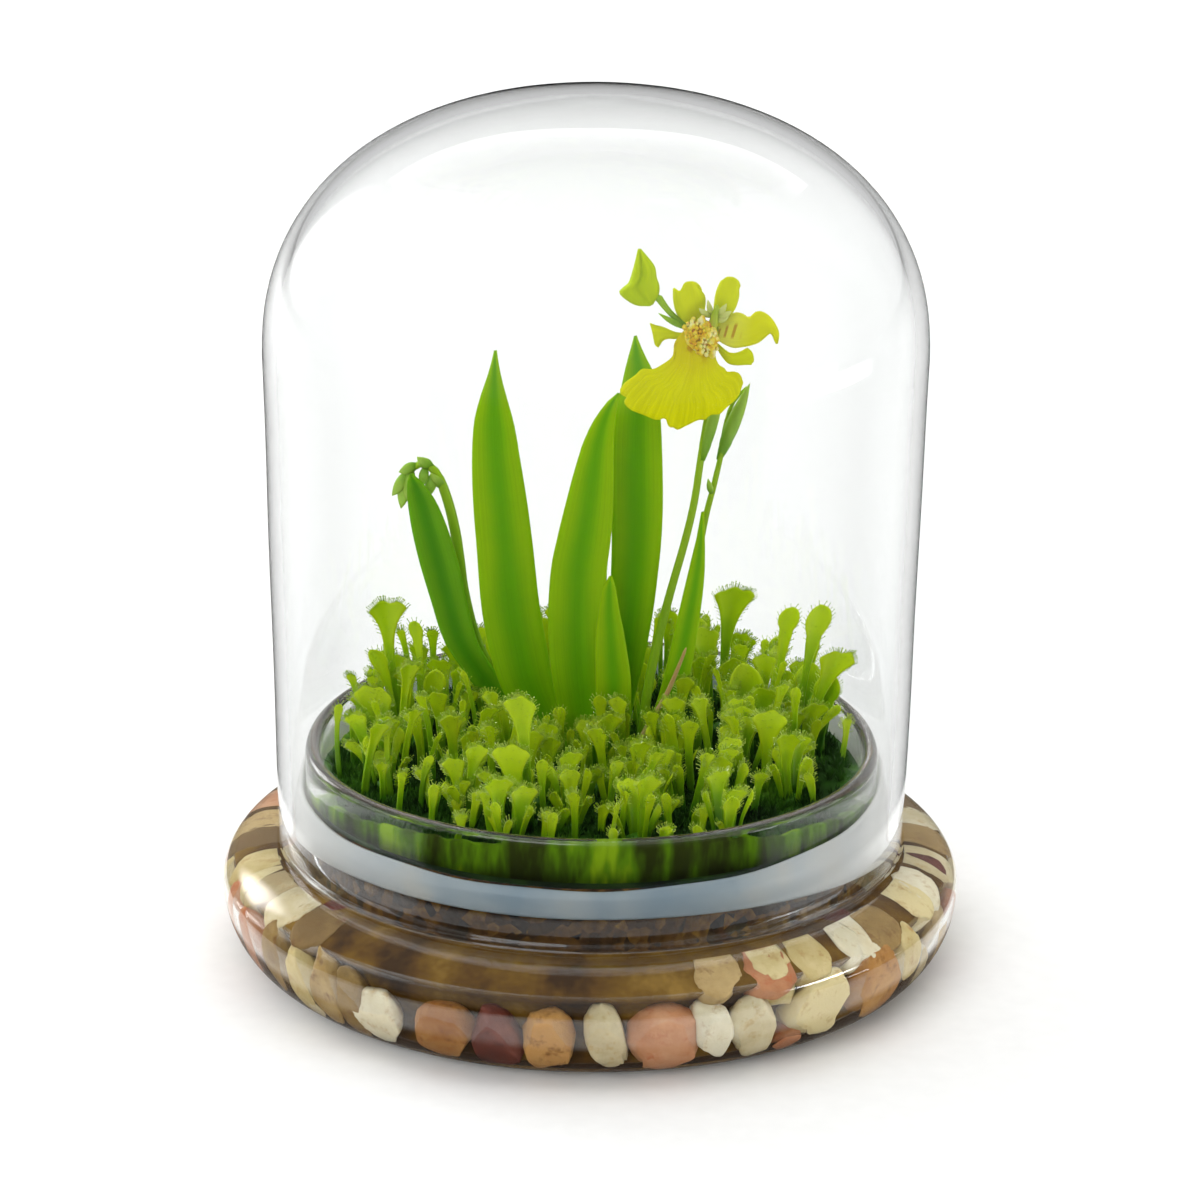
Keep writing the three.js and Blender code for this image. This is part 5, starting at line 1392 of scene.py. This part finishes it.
def add_tentacles(hairs, grid, side, along, front, half, fan, roll):
    """Roots, leanings and sizes of the tentacles: a fringe round the head, fewer on its face."""
    rows, columns = grid.shape[:2]
    places = []
    if fan:
        for v in np.linspace(-1, 1, 8 + int(7 * half)):
            places.append((1.0, v, side * 0.8 * v + along[-1] + front[-1] * 0.6 * (roll() - 0.3), 1.0))
    for edge in (-1, 1):
        for u in np.linspace(0.6, 0.98, 4 + int(3 * half)):
            row = int(u * (rows - 1))
            places.append((u, edge, edge * side * (1.3 - 0.8 * u * (not fan)) + along[row] * (0.4 + u ** 4),
                           0.85))
    for _ in range(8 + int(9 * half)):
        u, v = 0.62 + 0.36 * roll(), 1.5 * roll() - 0.75
        row = int(u * (rows - 1))
        places.append((u, v, front[row] * (1 if roll() > 0.35 else -1) + along[row] * 0.5
                       + side * (roll() - 0.5), 0.6))
    for u, v, lean, size in places:
        i, j = u * (rows - 1), (v + 1) / 2 * (columns - 1)
        i0, j0 = min(int(i), rows - 2), min(int(j), columns - 2)
        a, b = i - i0, j - j0
        root = ((1 - a) * (1 - b) * grid[i0, j0] + (1 - a) * b * grid[i0, j0 + 1]
                + a * (1 - b) * grid[i0 + 1, j0] + a * b * grid[i0 + 1, j0 + 1])
        jitter = np.array([roll() - 0.5, roll() - 0.5, roll() - 0.5]) * 0.35
        hairs.append((root, unit(lean + jitter), size * (0.7 + 0.6 * roll())))


def leaf_foot(x, y, tip):
    """Where a leaf of the crown at x, y comes out of the moss: partly on the way to its tip."""
    return (x + FOOT_SHARE * (tip[0] - x), y + FOOT_SHARE * (tip[1] - y), FOOT_Z)


def low_crowns():
    """Where the low sundews stand: a sunflower spiral, clear of the orchid and the tall ones."""
    taken = [crown_place for crown_place, _ in TALL_SUNDEWS.values()]
    crowns = []
    for k in range(1, CROWN_COUNT + 1):
        r = CROWN_SPREAD * math.sqrt(k - 0.3)
        x, y = r * math.cos(k * GOLDEN_ANGLE), r * math.sin(k * GOLDEN_ANGLE)
        x0, y0, wide, deep = FAN_SPACE
        near = min(math.hypot(x - a, y - b) for a, b in taken)
        if math.hypot((x - x0) / wide, (y - y0) / deep) > 1 and near > CLEAR_OF_TALL:
            crowns.append((x, y))
    return crowns


def low_leaves(x, y, seed):
    """The leaves that a low sundew has in the CAD model: tip, half width, turn, fan or spoon."""
    roll = dice(seed)
    tall = within(LOW_TALL, roll) + 2.5 * y / NECK_INSIDE
    across = 6 * roll()
    leaves = []

    def grow(angle, reach, height, half, turn, fan):
        tip = (x + reach * math.cos(angle), y + reach * math.sin(angle), CROWN_Z + height)
        leaves.append((tip, half, turn, fan))

    for k in range(2):
        half, turn = within(LOW_FAN_HALF, roll), 0.5 * roll()
        grow(across + math.pi * k, 1.9, tall * (1 - 0.16 * k), half, turn, True)
    for k in range(4):
        angle = across + 2 * math.pi * (k + 0.5 + 0.3 * roll()) / 4
        half = within(LOW_SPOON_HALF, roll)
        reach = CROWN_REACH - half - 0.8 * roll()
        grow(angle, reach, tall * (0.4 + 0.4 * roll()), half, angle + math.pi / 2, False)
    return leaves


def seen_leaves():
    """The leaves listed one by one, as foot, tip, half width, turn and fan or spoon."""
    roll = dice(64)
    return [((x, y, FOOT_Z), (tip_x, y - 0.3, tip_z), half, 0.5 * (roll() - 0.5), fan == 1)
            for x, y, tip_x, tip_z, half, fan in SEEN_LEAVES]


def spread_leaves():
    """Younger leaves that come up all over the moss, lower and finer towards the front rim."""
    roll = dice(2718)
    taken = [foot[:2] for foot, *_ in seen_leaves()]
    leaves = []
    for k in range(1, SPREAD_COUNT):
        r, a = SPREAD_STEP * math.sqrt(k) + 1.2 * (roll() - 0.5), k * GOLDEN_ANGLE + 0.12 * (roll() - 0.5)
        x, y = r * math.cos(a), r * math.sin(a)
        x0, y0, wide, deep = FAN_FOOT
        room = NECK_INSIDE - 2 * RIM_CLEAR - r
        in_mound = math.hypot(x - MOUND[0], y - MOUND[1]) < MOUND[2]
        if room < 0 or in_mound or math.hypot((x - x0) / wide, (y - y0) / deep) < 1:
            continue
        if min(math.hypot(x - p, y - q) for p, q in taken) < SPREAD_CLEAR:
            continue
        back = ease((y + 34) / 30)
        height = (4.6 + 3.4 * back) + (3.2 + 4.2 * back) * roll()
        bare = ease((x - 14) / 10) * ease((-8 - y) / 8)
        height *= 1 - 0.5 * bare
        if bare * roll() > 0.25:
            continue
        fan = roll() > 0.42
        half = (0.7 + 1.1 * roll() * (0.3 + 0.7 * back)) if fan else (0.35 + 0.5 * roll())
        lean_x, lean_y = (roll() - 0.5) * 0.4 * height, (roll() - 0.6) * 0.3 * height
        if math.hypot(x + lean_x, y + lean_y) + half > NECK_INSIDE - RIM_CLEAR:
            lean_x = lean_y = 0
        leaves.append(((x, y, FOOT_Z), (x + lean_x, y + lean_y, FOOT_Z + height), half,
                       1.1 * (roll() - 0.5), fan))
    return leaves


def add_crown_stub(shape, x, y):
    """The short root stock that the leaves grow from."""
    points, faces = BALLS[3]
    tall = (CROWN_Z + 0.6 - CROWN_FOOT_Z) / 2
    shape.add(points * [CROWN_RADIUS, CROWN_RADIUS, tall] + [x, y, CROWN_FOOT_Z + tall], faces, 0.0, 0.0,
              0.2)


def tentacle_tree():
    """Stands one tentacle on each point, along the point's own lean and as long as its size."""
    tree, given = new_tree("leaf_tentacles", [
        ("Tentacle", "NodeSocketObject"), ("Length", "NodeSocketFloat"),
        ("Material", "NodeSocketMaterial")])
    roots = add(tree, "GeometryNodeMeshToPoints", {"Mesh": given["Geometry"]})
    lean = add(tree, "GeometryNodeInputNamedAttribute", {"Name": "lean"}, data_type="FLOAT_VECTOR")
    size = add(tree, "GeometryNodeInputNamedAttribute", {"Name": "size"}, data_type="FLOAT")
    turn = add(tree, "FunctionNodeAlignRotationToVector", {"Vector": lean}, axis="Z")
    scale = add(tree, "Math", {0: size, 1: given["Length"]}, operation="MULTIPLY")
    return ended_in_copies(tree, given, "Tentacle", roots, turn, scale)


def tentacle_mesh():
    """One tentacle, 1 mm long: a hair with a bead at its tip."""
    points, faces = [], []
    for r, z in ((0.1, -0.08), (0.06, 0.7), (0.15, 0.86)):
        points += [(r * math.cos(a), r * math.sin(a), z) for a in (0, 2.094, 4.189)]
    points.append((0, 0, 1.02))
    for row in (0, 3):
        faces += [(row + k, row + (k + 1) % 3, row + 3 + (k + 1) % 3, row + 3 + k) for k in range(3)]
    faces += [(2, 1, 0)] + [(6 + k, 6 + (k + 1) % 3, 9) for k in range(3)]
    return points, faces


def sundew_pieces():
    """Each sundew's leaves and its tentacles; a leaf on its own goes to the sundew nearest to it."""
    plants = {}
    for name, ((x, y), leaves) in TALL_SUNDEWS.items():
        plants[name] = (x, y, [(leaf_foot(x, y, tip), tip, half, math.radians(turn), fan)
                               for tip, half, turn, fan in leaves])
    for k, (x, y) in enumerate(low_crowns()):
        plants[f"sundew_{k + 1:02d}"] = (x, y, [(leaf_foot(x, y, tip), tip, LOW_SHARE * half, turn, fan)
                                                for tip, half, turn, fan in low_leaves(x, y, 91 + 7 * k)])
    for leaf in seen_leaves() + spread_leaves():
        nearest = min(plants.values(), key=lambda p: math.hypot(leaf[0][0] - p[0], leaf[0][1] - p[1]))
        nearest[2].append(leaf)
    tree = tentacle_tree()
    tentacle = plain_object("tentacle", *tentacle_mesh())
    for k, (name, (x, y, leaves)) in enumerate(plants.items()):
        roll = dice(501 + 29 * k)
        shape, hairs = Shape(), []
        add_crown_stub(shape, x, y)
        for foot, tip, half, turn, fan in leaves:
            add_sundew_leaf(shape, hairs, foot, tip, half, turn, fan, roll)
        piece(f"{name}_leaves", shape, SUNDEW_LEAF, name, slot="sundew_leaf")
        roots, leans, sizes = zip(*hairs)
        points = plain_object(f"{name}_roots", roots, [], [
            ("lean", "FLOAT_VECTOR", leans), ("size", "FLOAT", sizes)])
        mesh = grown(points, tree, {"Tentacle": tentacle, "Length": TENTACLE_LENGTH, "Material": TENTACLE})
        placed(f"{name}_tentacles", mesh, [name])
    bpy.data.objects.remove(tentacle)


sundew_pieces()


# ---------------------------------------------------------------- camera, floor and light
# Here sizes are in metres and angles in radians.
LOOKS_AT = (0, 0, 0.06)
LOOKS_FROM = 0.7
LOOKS_DOWN = 0.329
ROLLED = 0.011
LENS_LENGTH, SENSOR_WIDTH = 142.85, 36.0  # in millimetres
FRAME_SHIFT = (0.0052, -0.0305)


def camera():
    """A long lens, looking down on the terrarium from the front."""
    forward = Vector((0, math.cos(LOOKS_DOWN), -math.sin(LOOKS_DOWN)))
    lens = bpy.data.cameras.new("view")
    lens.lens, lens.sensor_width, lens.clip_start = LENS_LENGTH, SENSOR_WIDTH, 0.01
    lens.shift_x, lens.shift_y = FRAME_SHIFT
    made = put("view", lens)
    place = Vector(LOOKS_AT) - LOOKS_FROM * forward
    turn = forward.to_track_quat("-Z", "Y").to_matrix().to_4x4()
    made.matrix_world = Matrix.Translation(place) @ turn @ Matrix.Rotation(ROLLED, 4, "Z")
    bpy.context.scene.camera = made


FLOOR_RADIUS, FLOOR_SIDES = 7.0, 96
CARD_REACH = 0.1
# Painted reflection: what the glass mirrors of the floor, dark brown under the bowl like its stones, black
# beyond.
PAINTED_REFLECTION_TONES = [(0.0, "#3c2816"), (0.6, "#3c2816"), (0.7, "#101010")]  # by share of the cards' reach
UNDER_CARD = (0.056, 0.059)  # where the card under the bowl begins to fade, and where it ends
FAR_CARD = (0.086, 0.09)  # where the card round it begins, and where it is full


def floor():
    """White seamless paper, lit until it is nearly the paper's own white. Its mirror image in the glass is
    dark, as if black cards lay round the bowl, apart from a ring beside it. Under the bowl that mirror image
    is a painted reflection, dark brown like the stones in the bowl's foot."""
    made, tree, place = begun("seamless_paper")
    fibres = add(tree, "TexNoise", {"Vector": place, "Scale": every(3.3333), "Detail": 2.0})
    colour = add(tree, "ValToRGB", {0: fibres}, [(0.3, "#efefee"), (0.7, "#f2f2f1")])
    paper = add(tree, "BsdfPrincipled", {"Base Color": colour, "Roughness": 0.9, "Specular IOR Level": 0.1})
    away = add(tree, "VectorMath", {0: place}, operation="LENGTH")
    share = add(tree, "MapRange", {"Value": away, "From Max": CARD_REACH})
    cards = add(tree, "ValToRGB", {0: share}, PAINTED_REFLECTION_TONES)
    # Painted reflection: the tones that the glass mirrors in place of the paper.
    painted_reflection = add(tree, "BsdfPrincipled", {
        "Base Color": cards, "Roughness": 0.9, "Specular IOR Level": 0.0})
    ray = add(tree, "LightPath")
    mirrored = add(tree, "Math", {0: ray.outputs["Glossy Depth"], 1: 1.0}, operation="MINIMUM")
    under = add(tree, "MapRange", {"Value": away, "From Min": UNDER_CARD[1], "From Max": UNDER_CARD[0]})
    beyond = add(tree, "MapRange", {"Value": away, "From Min": FAR_CARD[0], "From Max": FAR_CARD[1]})
    low = add(tree, "Math", {0: mirrored, 1: under}, operation="MULTIPLY")
    glint = add(tree, "Math", {
        0: ray.outputs["Is Reflection Ray"], 1: ray.outputs["Is Diffuse Ray"]}, operation="SUBTRACT")
    far = add(tree, "Math", {0: glint, 1: beyond}, operation="MULTIPLY")
    covered = add(tree, "Math", {0: low, 1: far}, operation="MAXIMUM")
    mesh = bpy.data.meshes.new("paper")
    angles = [2 * math.pi * k / FLOOR_SIDES for k in range(FLOOR_SIDES)]
    mesh.from_pydata([(FLOOR_RADIUS * math.cos(a), FLOOR_RADIUS * math.sin(a), 0) for a in angles], [],
                     [tuple(range(FLOOR_SIDES))])
    mesh.materials.append(ended(made, add(tree, "MixShader", {0: covered, 1: paper, 2: painted_reflection})))
    sheet = put("paper", mesh)


def fade_rim(light):
    """Dims a soft box towards its rim, so that its mirror image has no hard edge."""
    light.use_nodes = True
    tree = light.node_tree
    spot = add(tree, "SeparateXYZ", {0: add(tree, "NewGeometry").outputs["Parametric"]})
    fades = []
    for axis in (0, 1):
        off = add(tree, "Math", {0: spot.outputs[axis], 1: 0.5}, operation="SUBTRACT")
        away = add(tree, "Math", {0: off}, operation="ABSOLUTE")
        fades.append(add(tree, "MapRange", {
            "Value": away, "From Min": 0.5, "From Max": 0.12}, interpolation_type="SMOOTHSTEP"))
    glow = add(tree, "Math", {0: fades[0], 1: fades[1]}, operation="MULTIPLY")
    tree.links.new(glow.outputs[0], tree.nodes["Emission"].inputs["Strength"])


def lamp(name, place, aim, size, watts, mirrored=False):
    """A rectangular soft box. One that is mirrored in the glass fades towards its rim; the others
    light the scene, but the glass doesn't show them."""
    light = bpy.data.lights.new(name, "AREA")
    light.shape, light.energy = "RECTANGLE", watts
    light.size, light.size_y = size
    if mirrored:
        fade_rim(light)
    made = put(name, light)
    made.location = place
    made.rotation_euler = (Vector(aim) - Vector(place)).to_track_quat("-Z", "Y").to_euler()
    made.visible_glossy = mirrored


def studio():
    """A dim room round a white floor: glass edges draw dark lines, and only two soft boxes mirror in
    the glass. Straight through the glass, and past the floor, the backdrop is white."""
    world = bpy.data.worlds.new("studio")
    world.use_nodes = True
    tree = world.node_tree
    tree.nodes.clear()
    way = add(tree, "TexCoord").outputs["Generated"]
    split = add(tree, "SeparateXYZ", {0: way})
    room = add(tree, "MapRange", {
        "Value": split.outputs["Z"], "From Min": -0.15, "From Max": 0.55, "To Min": 0.03, "To Max": 0.55})
    ray = add(tree, "LightPath")
    straight = add(tree, "Math", {
        0: ray.outputs["Is Camera Ray"], 1: ray.outputs["Is Transmission Ray"]}, operation="MAXIMUM")
    soft = add(tree, "MapRange", {"Value": ray.outputs["Is Diffuse Ray"], "To Min": 0.8})
    dimmed = add(tree, "Math", {0: room, 1: soft}, operation="MULTIPLY")
    bright = add(tree, "Math", {0: dimmed, 1: straight}, operation="MAXIMUM")
    sky = add(tree, "Background", {"Strength": bright})
    add(tree, "OutputWorld", {"Surface": sky})
    bpy.context.scene.world = world
    lamp("overhead", (0.0, 0.8, 1.65), (0, 0.35, 0), (2.5, 2.5), 30)
    lamp("left_back_box", (-0.72, 0.62, 0.34), (0, 0, 0.03), (0.5, 0.6), 8, mirrored=True)
    lamp("right_strip", (0.95, -0.3, 0.07), (0, 0, 0.02), (0.56, 0.1), 5, mirrored=True)
    lamp("front_fill", (-0.5, -0.9, 0.9), (0, 0, 0.05), (0.8, 0.8), 7.0)
    for side in (-1, 1):
        lamp("side_wash", (side * 1.1, 0.1, 0.4), (0, 0, 0.05), (0.6, 0.6), 2.2)
    scene = bpy.context.scene
    scene.view_settings.view_transform = "Standard"
    scene.view_settings.look = "None"
    for kind, most in (("max_bounces", 24), ("transmission_bounces", 20), ("transparent_max_bounces", 24),
                       ("glossy_bounces", 6), ("diffuse_bounces", 3)):
        setattr(scene.cycles, kind, most)


camera()
floor()
studio()
